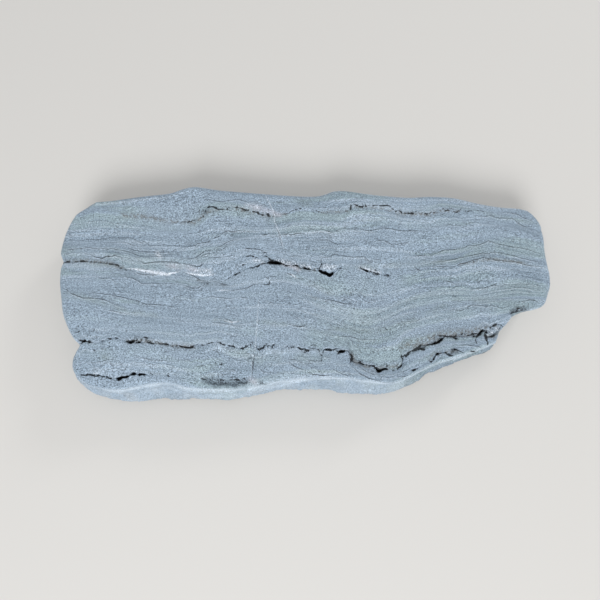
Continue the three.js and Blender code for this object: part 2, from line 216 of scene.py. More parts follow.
def terraces(value, slope):
    """Turns a smooth field into flat steps with slopes between them, slope being half their share."""
    level = np.floor(value)
    return level + smoothstep(value - level, 0.5 - slope, 0.5 + slope)


# %% [markdown]
# ## Cracks that stand open
# A crack is a line with a width that opens and shuts along it. Frost has worked at these, so
# the lips are ragged and a crack often breaks into a string of dots. Each crack gives several
# lines to the mesh, from its back lip over its middle to its front lip.

# %% Three cracks: where they run, how wide they stand, how deep they go
UPPER_OPENING = [
    (-525, 3), (-503, 1), (-478, 2), (-470, 1), (-444, 1), (-404, 1), (-397, 1), (-384, 3), (-380, 0),
    (-170, 0), (-164, 1), (-159, 0), (-152, 3), (-145, 2), (-138, 1), (-131, 0), (-126, 1), (-116, 3),
    (-111, 1), (-104, 2), (-99, 3), (-92, 1), (-84, 3), (-76, 7), (-66, 10),
    (-55, 8), (-47, 5), (-38, 4), (-33, 1), (-20, 4), (-12, 2), (0, 5), (8, 5), (15, 2), (24, 3),
    (30, 7), (40, 8), (54, 10), (60, 8), (66, 5), (69, 0), (106, 0), (110, 4), (120, 5), (134, 4),
    (145, 4), (150, 1), (156, 4), (162, 1), (168, 3), (180, 3), (184, 0),
]
LOWER_OPENING = [
    (-476, 7), (-466, 6), (-455, 5), (-450, 1), (-436, 2), (-425, 2), (-415, 0), (-409, 2), (-398, 2),
    (-388, 0), (-382, 3), (-376, 3), (-371, 7), (-364, 7), (-359, 3), (-350, 4), (-345, 1), (-333, 0),
    (-327, 4), (-318, 4), (-312, 0), (-305, 1), (-282, 3), (-275, 0), (-268, 1), (-258, 2), (-238, 3),
    (-233, 1), (-212, 1), (-202, 3), (-192, 0), (-160, 1), (-152, 3), (-140, 0), (-131, 3), (-125, 1),
    (-118, 0), (-104, 0), (-96, 3), (-88, 4), (-83, 1), (-79, 0), (-71, 0), (-66, 3),
    (-60, 0), (-40, 0), (-27, 3), (-22, 0), (-14, 2), (4, 5), (8, 3), (12, 0), (30, 0), (38, 3),
    (58, 5), (64, 2), (71, 4), (78, 6), (86, 5), (90, 3), (95, 5), (98, 7), (103, 2), (112, 4),
    (119, 5), (125, 3), (143, 5), (150, 7), (155, 7), (164, 5), (174, 3), (182, 4), (187, 1),
    (192, 4), (205, 4), (212, 6), (218, 5), (223, 3), (234, 5), (241, 7), (250, 6), (254, 3),
    (262, 3), (277, 6), (283, 8), (290, 7), (295, 4), (318, 4), (324, 2), (352, 2), (360, 5),
    (368, 7), (375, 6), (380, 4), (392, 3), (417, 4),
]
FRONT_OPENING = [
    (-470, 0), (-466, 2), (-428, 3), (-421, 2), (-417, 0), (-413, 3), (-408, 1), (-403, 4), (-396, 5),
    (-390, 9), (-384, 8), (-378, 5), (-366, 6), (-361, 7), (-350, 6), (-334, 6), (-330, 3), (-327, 0),
    (-209, 0), (-204, 6), (-196, 9), (-185, 11), (-165, 8), (-160, 11), (-148, 12), (-140, 8),
    (-125, 6), (-120, 0), (222, 0), (227, 4), (234, 4), (238, 0), (262, 0), (266, 2), (273, 4),
    (283, 5), (290, 3), (302, 4), (310, 5), (324, 3), (332, 1), (336, 0),
]
LEAST_LIP, LIP_SHARE = 0.7, 0.45
DEPTH_GROWTH = 0.32
DEEPEST_CRACK = 26
HAIRLINE_DEPTH = 0.15
PITS_LEFT, PITS_RIGHT, PIT_DEPTH = -230, -110, 4
WANDER, WANDER_STEP = 0.4, 11
JITTER, JITTER_STEP = 1.0, 5
PINCH_LEVEL, PINCH_SWING, PINCH_MOST = 0.35, 1.2, 1.15
THIN_CRACK, WIDE_CRACK = 5, 9


class Crack:
    def __init__(self, points, opening, seed):
        self.line = smooth_line(points)
        self.opening = np.array(opening, float).T
        self.wander = ragged(seed, WANDER_STEP)
        self.jitter = ragged(seed + 1, JITTER_STEP)
        self.pinch = ragged(seed + 2, JITTER_STEP)

    def width(self, x):
        """How far it stands open. A thin crack pinches shut here and there, a wide one doesn't."""
        opening = np.interp(x, *self.opening)
        pinched = np.clip(PINCH_LEVEL + PINCH_SWING * self.pinch(x), 0.0, PINCH_MOST)
        return opening * (pinched + (1 - pinched) * smoothstep(opening, THIN_CRACK, WIDE_CRACK))

    def middle(self, x):
        return self.line(x) + WANDER * self.wander(x) + JITTER * self.jitter(x)

    def pitted(self, x):
        """Whether this is the stretch of the front crack that is only pits."""
        return (self is front_crack) & (x > PITS_LEFT) & (x < PITS_RIGHT)

    def lip(self, x):
        return LEAST_LIP + LIP_SHARE * self.width(x)

    def depth(self, x, y):
        """How far the floor of the crack lies below the tread at each point."""
        across = np.clip(np.abs(y - self.middle(x)) / self.lip(x), 0, 1)
        deepest = np.where(self.pitted(x), PIT_DEPTH, DEEPEST_CRACK)
        full = HAIRLINE_DEPTH + np.minimum(DEPTH_GROWTH * self.width(x) ** 2, deepest)
        return full * (1 - across**3)


upper_crack = Crack(UPPER_CRACK, UPPER_OPENING, 11)
lower_crack = Crack(LOWER_CRACK, LOWER_OPENING, 21)
front_crack = Crack(FRONT_CRACK, FRONT_OPENING, 31)
cracks = (upper_crack, lower_crack, front_crack)
for crack in cracks:
    print("widest opening, mm:", round(float(crack.width(np.linspace(-520, 520, 900)).max()), 1))

# %% [markdown]
# ## Hairlines, veins and stains
# These are too thin to model as gaps, so they are drawn: each run is a chain of points with a
# width, all in millimetres. The black of the hairlines and dotted cracks is painted shade, since
# the mesh is too coarse to cast it. The mesh keeps the signed distance to the nearest run and the
# width there. A signed distance stays sharp between mesh points, where a painted mask would
# blur, and the shader can break it into dots.

# %% Beaded lines: cracks so thin that they show as strings of dark dots
BEADED = [
    [(-523, 63, 3), (-512, 64, 3.6), (-503, 63, 2.4), (-479, 66, 3.8), (-476, 63, 2.4), (-468, 65, 3),
     (-451, 63, 1.8), (-430, 61, 2.8), (-404, 57, 3.2), (-398, 50, 2), (-385, 46, 3.8)],
    [(-519, 55, 1.8), (-516, 51, 2.6)],
    [(-214, 187, 4), (-209, 190, 4.2), (-201, 190, 4.6), (-195, 186, 4.6), (-187, 184, 4), (-180, 184, 2.6),
     (-172, 184, 3.6), (-167, 188, 2.4), (-156, 186, 2), (-149, 188, 4.2), (-145, 187, 1.8), (-130, 182, 4),
     (-116, 179, 2.4), (-107, 176, 5.2), (-98, 172, 5), (-89, 170, 3), (-81, 171, 5.4), (-79, 164, 3)],
    [(-268, 152, 2.4), (-257, 153, 3.4), (-239, 159, 2.6), (-236, 163, 1.6), (-226, 164, 1.8),
     (-221, 170, 3),
     (-219, 177, 3.6), (-219, 182, 2.2)],
    [(-230, 194, 2.6), (-229, 187, 2), (-235, 174, 2.2), (-246, 171, 1.4)],
    [(-245, 209, 2), (-244, 206, 4)],
    [(-190, 213, 1.8), (-190, 210, 2.6)],
    [(-242, 194, 2.4), (-241, 192, 2)],
    [(-122, 196, 1.8), (-121, 193, 2.4)],
    [(-65, 173, 3), (-63, 173, 3)],
    [(-61, 201, 2.6), (-51, 198, 1.6)],
    [(-41, 174, 2.2), (-27, 181, 2.2), (-23, 185, 2.4), (-19, 182, 2.4), (-13, 185, 2.8), (0, 184, 2)],
    [(-168, 25, 2.2), (-164, 28, 3), (-159, 31, 1.6), (-153, 34, 4.2), (-133, 46, 1.8), (-125, 49, 3.4),
     (-115, 52, 4.6), (-110, 51, 2.6), (-106, 54, 3.6), (-101, 53, 4.4), (-99, 58, 3.4), (-92, 60, 2.6),
     (-82, 62, 3), (-76, 59, 5)],
    [(-135, 57, 3.6), (-133, 57, 3.6)],
    [(118, 50, 3.4), (124, 48, 4), (136, 44, 2.6), (149, 40, 3.4), (161, 36, 2.6), (179, 33, 3)],
    [(-142, 92, 1.8), (-131, 94, 2.4), (-98, 92, 2.4), (-94, 89, 4.2), (-81, 82, 1.6)],
    [(-138, 76, 1.6), (-116, 77, 3.8), (-96, 71, 1.4)],
    [(-89, 77, 3), (-81, 75, 4), (-68, 65, 6.4)],
    [(-48, 59, 3.4), (-39, 55, 4.6), (-32, 55, 2)],
    [(-37, 70, 3.4), (-36, 66, 2.6)],
    [(-32, 63, 2.2), (-29, 62, 2.4)],
    [(-20, 56, 4.4), (-15, 55, 4.4)],
    [(-11, 50, 3.4), (0, 49, 4.6)],
    [(0, 48, 4.4), (9, 45, 4.2), (16, 46, 2.6), (24, 44, 2.4)],
    [(34, 65, 4.4), (35, 56, 4.8), (31, 50, 5.2)],
    [(68, 47, 2.4), (72, 49, 3.4), (86, 50, 2.2)],
    [(92, 42, 1.8), (101, 40, 1.4)],
    [(152, 47, 2.6), (154, 45, 3.4)],
    [(152, 36, 4.4), (157, 37, 4.6)],
    [(164, 35, 2.8), (168, 33, 4)],
    [(176, 34, 2.6), (181, 34, 3)],
    [(178, 27, 1.8), (179, 26, 1.8)],
    [(100, 183, 3), (102, 192, 4), (107, 195, 2.8), (123, 190, 4), (129, 190, 4.6), (129, 194, 2)],
    [(135, 190, 3.4), (154, 192, 2.8), (185, 192, 3.4), (194, 184, 2.4), (201, 180, 4.2), (210, 180, 2.4),
     (215, 174, 3.6), (221, 175, 2.2), (228, 174, 3.6), (238, 174, 4), (244, 178, 2.4), (262, 175, 2.6),
     (268, 172, 3.4)],
    [(0, 182, 1.6), (22, 182, 3), (40, 176, 2.6), (51, 175, 2), (59, 176, 2.6), (66, 180, 2.2),
     (75, 181, 2.2),
     (86, 179, 2.4), (97, 180, 1.8)],
    [(268, 172, 2.8), (276, 174, 3), (281, 176, 2.2), (292, 176, 2.6), (301, 186, 2.4), (310, 181, 2.6),
     (319, 182, 2.8), (326, 180, 2.2), (334, 175, 2.6), (343, 184, 2)],
    [(347, 181, 1.8), (354, 179, 2.4), (387, 180, 2.4), (394, 178, 2), (397, 174, 1.2)],
    [(310, 190, 1.6), (326, 189, 1.4)],
    [(-477, -104, 3.6), (-468, -106, 5.6), (-452, -109, 5.4)],
    [(-433, -111, 3.8), (-431, -110, 3)],
    [(-428, -108, 4.4), (-426, -107, 4.4)],
    [(-414, -102, 2.2), (-410, -103, 4.6), (-408, -103, 3)],
    [(-404, -101, 1.6), (-398, -100, 4), (-393, -102, 1.6)],
    [(-382, -106, 3), (-371, -109, 3.4)],
    [(-370, -108, 5), (-365, -109, 7.6), (-361, -107, 5)],
    [(-362, -100, 2.4), (-360, -101, 2.4)],
    [(-354, -101, 3.4), (-353, -104, 4.6)],
    [(-355, -110, 3.4), (-344, -110, 4)],
    [(-346, -98, 2.4), (-334, -100, 4.4), (-321, -101, 2.6)],
    [(-344, -105, 2), (-334, -106, 2.8)],
    [(-328, -111, 4.6), (-324, -112, 4.6)],
    [(-320, -113, 3.8), (-317, -113, 3.8)],
    [(-316, -106, 1.6), (-309, -109, 2), (-305, -113, 2.4), (-289, -114, 3.8), (-277, -119, 2),
     (-270, -118, 2.6)],
    [(-443, -126, 3.8), (-441, -127, 3.8)],
    [(-437, -132, 2.6), (-436, -132, 2.6)],
    [(-489, -86, 1.8), (-483, -90, 2.6), (-476, -87, 4.6), (-475, -82, 2.4)],
    [(-446, -79, 1.8), (-445, -85, 2.8)],
    [(-469, -177, 3.6), (-458, -179, 4.4), (-449, -177, 5), (-440, -180, 4.6), (-429, -179, 4.8),
     (-417, -182, 4)],
    [(-412, -183, 3.6), (-404, -185, 4.4)],
    [(-320, -175, 3.4), (-317, -177, 3.6)],
    [(-288, -178, 3), (-283, -180, 3.6)],
    [(-409, -146, 2.6), (-408, -147, 2.6)],
    [(-268, -116, 2.4), (-255, -120, 3.6), (-237, -121, 4.8), (-232, -114, 2.4), (-213, -116, 3)],
    [(-206, -114, 4.8), (-202, -112, 4.8)],
    [(-197, -110, 2.8), (-191, -111, 2.8), (-179, -109, 3), (-177, -113, 4.2), (-172, -115, 3.4),
     (-162, -116, 2.4), (-150, -118, 4.2), (-148, -121, 3)],
    [(-136, -123, 3.6), (-131, -124, 4.8), (-128, -122, 3.4), (-124, -119, 4.2)],
    [(-114, -115, 3.8), (-111, -112, 3)],
    [(-118, -121, 1.6), (-102, -121, 2.4), (-104, -118, 1.6)],
    [(-94, -125, 5), (-91, -123, 6.4), (-83, -116, 3.4)],
    [(-78, -118, 3), (-74, -118, 3.2)],
    [(-68, -120, 4.4), (-65, -116, 4.2)],
    [(-48, -122, 2), (-43, -123, 1.6), (-32, -115, 3.2)],
    [(-29, -122, 4.4), (-24, -121, 4.2)],
    [(-19, -118, 1.8), (-9, -124, 4.4), (-3, -123, 5), (0, -125, 4)],
    [(-174, -155, 4.4), (-171, -155, 4.4)],
    [(-214, -185, 3), (-209, -187, 4)],
    [(-198, -187, 3.4), (-195, -188, 3.6)],
    [(-188, -187, 4.2), (-186, -188, 4.2)],
    [(-175, -187, 4.6), (-171, -188, 4.6)],
    [(-156, -188, 4), (-153, -188, 4.4)],
    [(-147, -187, 4.6), (-144, -187, 4.6)],
    [(-139, -188, 4.8), (-136, -189, 4.4)],
    [(-205, -181, 2.4), (-204, -182, 2.4)],
    [(-126, -185, 3.6), (-124, -187, 3.4)],
    [(-131, -94, 2.4), (-130, -95, 2.4)],
    [(-92, -195, 3), (-87, -194, 3), (-81, -198, 2)],
    [(2, -130, 4.4), (5, -128, 6), (9, -125, 3.4)],
    [(14, -116, 2.6), (21, -116, 2.2)],
    [(14, -123, 2.4), (28, -125, 2.6)],
    [(31, -133, 3), (34, -136, 3.6)],
    [(37, -132, 2.4), (38, -125, 3.6), (55, -126, 4.8), (64, -123, 2.8), (71, -124, 3)],
    [(71, -132, 5.4), (74, -130, 6.4), (88, -128, 5), (89, -122, 2.4)],
    [(90, -128, 2.4), (97, -138, 4.6), (96, -150, 8.6)],
    [(111, -140, 2.4), (119, -149, 3.8)],
    [(112, -152, 3.4), (118, -154, 5.6), (125, -156, 3.6)],
    [(132, -159, 3), (143, -160, 5.2), (153, -170, 8), (161, -168, 5), (169, -165, 4), (170, -155, 2.2)],
    [(174, -162, 2.6), (182, -168, 4)],
    [(186, -166, 1.6), (192, -165, 4.2), (196, -162, 5.2), (206, -154, 2.4)],
    [(202, -143, 4), (201, -138, 3.6), (205, -139, 4.4), (212, -137, 7), (222, -128, 3.6)],
    [(225, -128, 3.4), (239, -122, 8.6), (242, -117, 4.4)],
    [(243, -122, 5), (251, -123, 6.4)],
    [(247, -118, 2.6), (268, -113, 4.4)],
    [(226, -168, 4.4), (234, -165, 4)],
    [(262, -149, 2.6), (266, -150, 4.2)],
    [(157, -80, 3), (158, -83, 3.4)],
    [(170, -80, 2.2), (171, -83, 2.6)],
    [(34, -144, 2), (35, -148, 2.8)],
    [(268, -114, 4.6), (274, -112, 3.6)],
    [(277, -112, 6), (283, -108, 7.4), (293, -100, 5)],
    [(272, -100, 3), (281, -97, 3.6), (307, -99, 5.2), (322, -102, 3.6)],
    [(315, -97, 3), (321, -94, 3.4), (331, -94, 4.2), (335, -89, 3), (335, -94, 3), (344, -96, 3),
     (352, -92, 4), (359, -91, 4.4)],
    [(334, -101, 3), (335, -102, 3)],
    [(356, -98, 3), (363, -97, 4.6), (374, -87, 7.4), (377, -83, 5.4), (373, -82, 3)],
    [(381, -89, 4.4), (383, -100, 5), (399, -95, 4.6), (403, -91, 4)],
    [(388, -88, 3.6), (392, -86, 3.6)],
    [(392, -80, 3.4), (397, -75, 4), (406, -72, 4), (414, -73, 4), (422, -77, 4)],
    [(384, -105, 4), (387, -109, 4.4), (386, -114, 3)],
    [(362, -104, 3.4), (362, -109, 3.4)],
    [(271, -146, 3.4), (275, -134, 3.2), (282, -133, 5), (288, -132, 2.6), (295, -130, 3.4),
     (301, -135, 4.8),
     (308, -136, 4.8)],
    [(310, -129, 2.4), (311, -124, 3.4), (317, -123, 3), (334, -132, 2)],
    [(352, -128, 3), (362, -129, 3)],
]

# %% Hairlines: the thin edges of the layers, each with a width and a run of points
HAIRLINES = [
    (1.4, [(-514, 112), (-483, 113), (-470, 116), (-457, 114), (-426, 119), (-377, 118), (-360, 108),
      (-349, 110), (-338, 100), (-302, 103), (-294, 100), (-283, 101), (-271, 99)]),
    (1.5, [(-447, 107), (-395, 109), (-377, 102), (-353, 97)]),
    (1.5, [(-523, 94), (-514, 92), (-470, 96), (-455, 94), (-441, 95), (-428, 92), (-417, 95), (-410, 91),
      (-397, 90), (-373, 84), (-362, 77), (-348, 75), (-298, 77), (-268, 74)]),
    (1.4, [(-525, 84), (-517, 82), (-503, 84)]),
    (1.4, [(-382, 94), (-373, 90), (-338, 86), (-268, 85)]),
    (1.3, [(-346, 92), (-283, 88)]),
    (2.0, [(-363, 70), (-346, 60), (-327, 64), (-289, 64), (-268, 60)]),
    (1.5, [(-395, 75), (-377, 71), (-369, 64)]),
    (2.1, [(-468, 80), (-441, 71), (-428, 77), (-422, 76), (-413, 79), (-395, 73)]),
    (1.2, [(-481, 84), (-470, 80), (-459, 86)]),
    (1.5, [(-395, 33), (-369, 27), (-349, 16), (-268, 16)]),
    (1.6, [(-369, 46), (-360, 39), (-349, 36), (-324, 35), (-316, 37)]),
    (1.1, [(-525, 26), (-448, 22)]),
    (1.4, [(-448, 30), (-435, 27), (-422, 28), (-413, 26), (-404, 17)]),
    (1.3, [(-268, 125), (-233, 130), (-211, 138)]),
    (1.9, [(-205, 115), (-190, 120), (-180, 128)]),
    (1.7, [(-185, 132), (-180, 130), (-169, 133), (-160, 132), (-149, 134), (-99, 132)]),
    (1.8, [(-268, 97), (-244, 99), (-238, 101), (-236, 104), (-210, 109), (-208, 112)]),
    (1.6, [(-268, 72), (-242, 72), (-235, 75), (-220, 87), (-209, 90), (-184, 90), (-156, 105)]),
    (1.3, [(-234, 68), (-220, 79), (-195, 85), (-180, 86)]),
    (1.4, [(-226, 65), (-204, 73), (-160, 77), (-149, 82)]),
    (1.6, [(-194, 96), (-182, 99), (-166, 110), (-158, 113), (-145, 114)]),
    (2.1, [(-268, 62), (-235, 53), (-226, 54), (-221, 58), (-220, 62)]),
    (1.8, [(-259, 38), (-239, 33), (-231, 27), (-215, 21)]),
    (1.6, [(-268, 15), (-237, 6), (-226, 8), (-212, 16)]),
    (1.9, [(-195, 22), (-175, 14), (-157, 11)]),
    (1.2, [(-268, 4), (-224, 0), (-175, 3)]),
    (1.8, [(-167, -1), (-125, 6), (-109, 14), (-100, 15)]),
    (2.3, [(-96, 15), (-77, 13), (-75, 18), (-76, 23)]),
    (3.0, [(-83, 30), (-81, 26)]),
    (3.0, [(-74, 32), (-68, 31)]),
    (1.6, [(-68, 148), (-56, 128), (-50, 96)]),
    (1.8, [(-54, 126), (-45, 124), (-39, 127), (-30, 124), (-14, 129), (-3, 127)]),
    (2.4, [(-95, 125), (-87, 124), (-81, 126)]),
    (1.3, [(-40, 103), (0, 103)]),
    (1.4, [(-34, 75), (-21, 77), (0, 74)]),
    (2.2, [(-39, 39), (-30, 35), (-25, 30)]),
    (1.5, [(-222, 204), (-213, 206), (-189, 200), (-145, 206), (-125, 199), (-99, 202)]),
    (1.6, [(-96, 216), (-81, 201)]),
    (1.5, [(0, 135), (13, 138), (26, 135), (40, 138), (58, 131), (63, 131)]),
    (1.6, [(66, 132), (75, 138), (115, 139), (141, 134), (173, 141), (221, 133), (234, 135), (268, 133)]),
    (1.5, [(22, 112), (53, 113), (66, 104), (93, 103)]),
    (1.2, [(99, 103), (123, 114), (135, 111), (150, 97)]),
    (1.5, [(146, 110), (172, 112), (187, 103), (199, 102), (207, 105), (221, 106), (229, 111)]),
    (1.7, [(29, 74), (53, 74), (59, 79), (66, 80), (104, 73), (128, 75), (141, 63), (146, 63)]),
    (1.4, [(148, 69), (187, 70)]),
    (1.8, [(117, 59), (138, 55)]),
    (1.9, [(234, 75), (254, 79), (268, 79)]),
    (1.5, [(229, 59), (268, 63)]),
    (2.2, [(238, 51), (243, 46), (254, 43)]),
    (1.3, [(0, 27), (24, 16), (33, 8)]),
    (1.6, [(268, 80), (277, 80), (303, 90), (339, 94), (349, 97), (354, 101), (365, 100), (378, 102),
      (400, 111), (433, 101), (480, 94), (513, 82)]),
    (1.6, [(268, 64), (299, 65), (385, 84), (397, 82), (405, 86), (418, 86), (493, 67), (517, 63)]),
    (1.5, [(268, 53), (281, 55), (323, 53)]),
    (1.6, [(328, 56), (333, 60), (356, 64), (365, 69), (376, 70), (387, 74), (398, 71), (409, 71),
           (409, 68),
      (458, 64), (480, 57), (515, 53)]),
    (1.5, [(372, 169), (394, 167), (409, 169), (425, 163), (458, 162), (464, 156), (482, 145), (505, 144)]),
    (1.5, [(420, 177), (464, 174), (486, 162), (499, 160)]),
    (1.2, [(268, 143), (294, 143), (312, 148), (328, 146), (352, 148), (365, 154), (386, 152)]),
    (1.3, [(409, 145), (429, 134)]),
    (1.6, [(389, 21), (410, 22)]),
    (1.4, [(350, 2), (370, 6), (383, 6), (392, 10), (405, 12), (422, 11), (431, 14), (445, 13), (456, 16),
      (484, 14), (511, 4)]),
    (1.5, [(385, 0), (467, 9), (500, -1)]),
    (1.8, [(301, 22), (310, 21), (326, 13)]),
    (1.6, [(268, 16), (275, 15)]),
    (1.9, [(-505, -2), (-497, -7), (-472, -16), (-448, -16), (-428, -19), (-395, -34)]),
    (1.5, [(-461, -1), (-448, -5), (-417, -8), (-377, -17), (-353, -23), (-342, -28), (-298, -31),
      (-268, -38)]),
    (1.6, [(-404, -21), (-393, -34)]),
    (1.5, [(-422, -41), (-408, -42), (-391, -48), (-381, -49)]),
    (1.4, [(-444, -47), (-430, -48)]),
    (1.6, [(-349, -138), (-338, -143), (-313, -147), (-268, -149)]),
    (1.4, [(-452, -151), (-435, -151), (-406, -145)]),
    (1.5, [(-397, -154), (-389, -169)]),
    (1.9, [(-309, -184), (-268, -190)]),
    (1.7, [(-268, -13), (-235, -19)]),
    (1.3, [(-222, -17), (-200, -12), (-162, -17), (-138, -12)]),
    (3.2, [(-137, -14), (-123, -16)]),
    (1.5, [(-268, -65), (-209, -68)]),
    (1.4, [(-195, -68), (-184, -68), (-145, -75), (-127, -74)]),
    (1.4, [(-173, -34), (-145, -34)]),
    (3.0, [(-169, -60), (-158, -64)]),
    (1.8, [(-195, -83), (-190, -85)]),
    (1.6, [(-108, -77), (-83, -79)]),
    (2.0, [(-80, -23), (-71, -25)]),
    (2.3, [(-29, -74), (-9, -77), (0, -75)]),
    (1.5, [(-21, -59), (-12, -54), (-2, -66)]),
    (1.6, [(-145, -132), (-104, -134)]),
    (2.4, [(-105, -134), (-109, -160), (-109, -179)]),
    (1.6, [(-268, -147), (-244, -146), (-236, -149)]),
    (1.8, [(-189, -140), (-177, -149)]),
    (1.5, [(-173, -167), (-149, -167), (-142, -170)]),
    (1.5, [(-149, -148), (-109, -149)]),
    (1.9, [(-61, -136), (-49, -145)]),
    (1.6, [(-41, -143), (-21, -147), (-8, -154)]),
    (2.0, [(-34, -151), (-19, -162), (0, -168)]),
    (1.7, [(-59, -154), (-41, -154)]),
    (1.5, [(-97, -163), (-85, -171), (-45, -176)]),
    (2.0, [(-36, -173), (0, -178)]),
    (1.8, [(-255, -184), (-249, -185)]),
    (1.4, [(-235, -186), (-215, -192)]),
    (1.7, [(11, -12), (20, -16), (29, -17)]),
    (1.9, [(40, -19), (53, -20), (82, -28), (119, -30)]),
    (1.6, [(99, -20), (119, -25)]),
    (2.2, [(138, -19), (148, -21)]),
    (1.5, [(141, -37), (176, -23)]),
    (1.7, [(0, -57), (24, -64)]),
    (2.0, [(0, -75), (5, -78)]),
    (1.8, [(26, -87), (58, -96)]),
    (1.9, [(44, -83), (63, -84)]),
    (2.0, [(95, -80), (116, -91)]),
    (1.8, [(129, -89), (136, -92)]),
    (1.5, [(59, -96), (97, -98), (110, -103), (154, -105)]),
    (1.4, [(187, -66), (234, -66), (242, -61), (244, -55)]),
    (2.2, [(205, -122), (218, -121)]),
    (1.6, [(99, -118), (113, -136)]),
    (1.5, [(131, -135), (137, -139)]),
    (1.8, [(42, -140), (47, -141)]),
    (1.6, [(0, -156), (42, -172)]),
    (1.5, [(0, -144), (18, -149), (33, -148), (39, -150)]),
    (2.0, [(4, -171), (18, -177), (40, -179), (57, -178)]),
    (1.8, [(57, -165), (82, -178), (108, -181)]),
    (1.9, [(99, -161), (115, -175), (132, -184), (150, -189)]),
    (1.5, [(104, -154), (128, -171), (141, -176), (154, -178)]),
    (1.4, [(123, -161), (150, -175)]),
    (2.8, [(158, -185), (161, -181)]),
    (2.4, [(168, -183), (183, -181)]),
    (1.9, [(159, -192), (190, -194)]),
    (1.9, [(190, -181), (206, -181), (216, -178)]),
    (1.4, [(339, -34), (344, -36), (356, -30), (385, -34), (398, -31), (420, -38), (441, -30)]),
    (1.5, [(363, -20), (440, -16)]),
    (2.0, [(451, -25), (480, -19), (489, -20), (494, -23)]),
    (1.5, [(308, -43), (314, -40), (330, -43), (345, -37)]),
    (1.2, [(345, -11), (383, -6)]),
    (2.0, [(272, -47), (281, -47)]),
    (1.7, [(323, -116), (341, -115), (365, -118), (372, -121)]),
]

# %% Pale veins: quartz, and old cracks that have healed
VEINS = [
    [(-383, 49, 1.2), (-367, 48, 2.6), (-348, 44, 3.6), (-334, 42, 4.6), (-319, 39, 5.4), (-298, 36, 5.0),
     (-285, 39, 3.6), (-273, 41, 1.6)],
    [(-288, 58, 0.9), (-268, 58, 1.2), (-252, 56, 0.8)],
    [(-258, 41, 1.2), (-240, 36, 3.0), (-222, 34, 3.4), (-204, 33, 2.6), (-195, 36, 1.0)],
    [(-205, 37, 1.6), (-204, 48, 1.2)],
    [(-87, 216, 1.1), (-76, 192, 1.5), (-67, 174, 1.6), (-67, 155, 1.4), (-56, 130, 1.5), (-47, 96, 1.0)],
    [(-99, -21, 0.9), (-102, -85, 1.3), (-105, -128, 1.1)],
    [(-188, 1, 0.9), (-180, 1, 1.8), (-166, 1, 1.6), (-160, 1, 0.8)],
    [(-170, -65, 1.4), (-160, -67, 1.8), (-150, -68, 2.0), (-140, -66, 1.6)],
    [(-31, 36, 2.0), (-24, 32, 2.2), (-18, 27, 1.4)],
    [(-175, 132, 0.8), (-153, 131, 1.1), (-127, 132, 1.1), (-106, 130, 0.8)],
    [(0, 127, 0.9), (15, 130, 1.2), (29, 132, 1.2), (44, 132, 1.2), (59, 125, 1.0), (64, 117, 0.8)],
    [(77, 132, 0.8), (102, 133, 1.1), (128, 132, 1.1), (153, 129, 0.8)],
    [(-440, -175, 2.4), (-436, -175, 2.4)],
]

# %% Soft marks: stains, grime, hollows, painted shade at the bay and where the tread dips, fresh pale chips
RUST = [
    [(-400, 170, 5), (-370, 168, 6), (-345, 164, 5), (-300, 154, 4), (-240, 152, 4),
     (-212, 178, 4), (-180, 186, 3),
     (-147, 184, 5), (-121, 179, 6), (-97, 172, 6), (-78, 167, 5), (-40, 172, 3)],
    [(33, 175, 2), (97, 179, 2), (103, 190, 3), (178, 185, 3), (206, 174, 5), (272, 170, 5),
     (302, 181, 4), (340, 178, 3)],
    [(202, -122, 6), (220, -115, 8), (237, -109, 9), (253, -105, 9), (273, -98, 9), (294, -91, 8),
     (322, -90, 8), (354, -86, 9), (372, -82, 8), (384, -80, 7)],
    [(225, -120, 5), (260, -110, 6), (300, -97, 5), (360, -92, 5)],
    [(382, -97, 4), (398, -98, 4), (411, -88, 4), (408, -76, 4), (394, -76, 4)],
    [(262, -143, 4), (276, -134, 5), (298, -131, 5), (318, -128, 5)],
    [(89, -130, 3), (97, -135, 5), (101, -149, 5), (118, -157, 4), (150, -166, 5), (176, -164, 4),
     (198, -156, 4)],
    [(-372, -108, 5), (-352, -106, 6), (-325, -109, 4), (-300, -113, 4), (-270, -118, 4), (-235, -119, 5)],
    [(-515, 65, 4), (-470, 66, 5), (-420, 60, 5), (-392, 50, 4)],
    [(-56, 60, 4), (-30, 57, 5), (-10, 50, 4), (20, 46, 4)],
    [(335, 58, 2), (364, 63, 3), (400, 70, 3), (450, 66, 3), (480, 60, 2)],
]
GRIME_AND_SHADE = [
    [(-208, -188, 5), (-195, -192, 8), (-184, -195, 9), (-173, -193, 7)],
    [(-166, -194, 7), (-151, -197, 10), (-136, -195, 8), (-118, -192, 5)],
    [(-95, -193, 5), (-84, -195, 4)],
    # The hollow at the bay: painted shade.
    [(443, -46, 7), (455, -42, 9), (470, -40, 7)],
    [(-229, 24, 4), (-214, 18, 6), (-205, 16, 4)],
    [(-190, 14, 3), (-170, 12, 3)],
    [(-232, 178, 5), (-215, 178, 5)],
    [(312, -126, 5), (322, -130, 5)],
    [(-86, 64, 3), (-72, 62, 5), (-58, 60, 5)],
    [(228, -129, 3), (246, -121, 3), (268, -111, 4), (284, -104, 4)],
    [(300, -99, 3), (344, -97, 3), (372, -92, 4)],
    [(390, -97, 3), (404, -90, 4), (412, -80, 3)],
    [(95, -131, 3), (102, -141, 4), (104, -152, 4), (120, -157, 3)],
]
# A dent in the tread at the bay, with painted shade in it.
HOLLOW = [[(444, -45, 6), (455, -41, 7), (469, -39, 5)]]
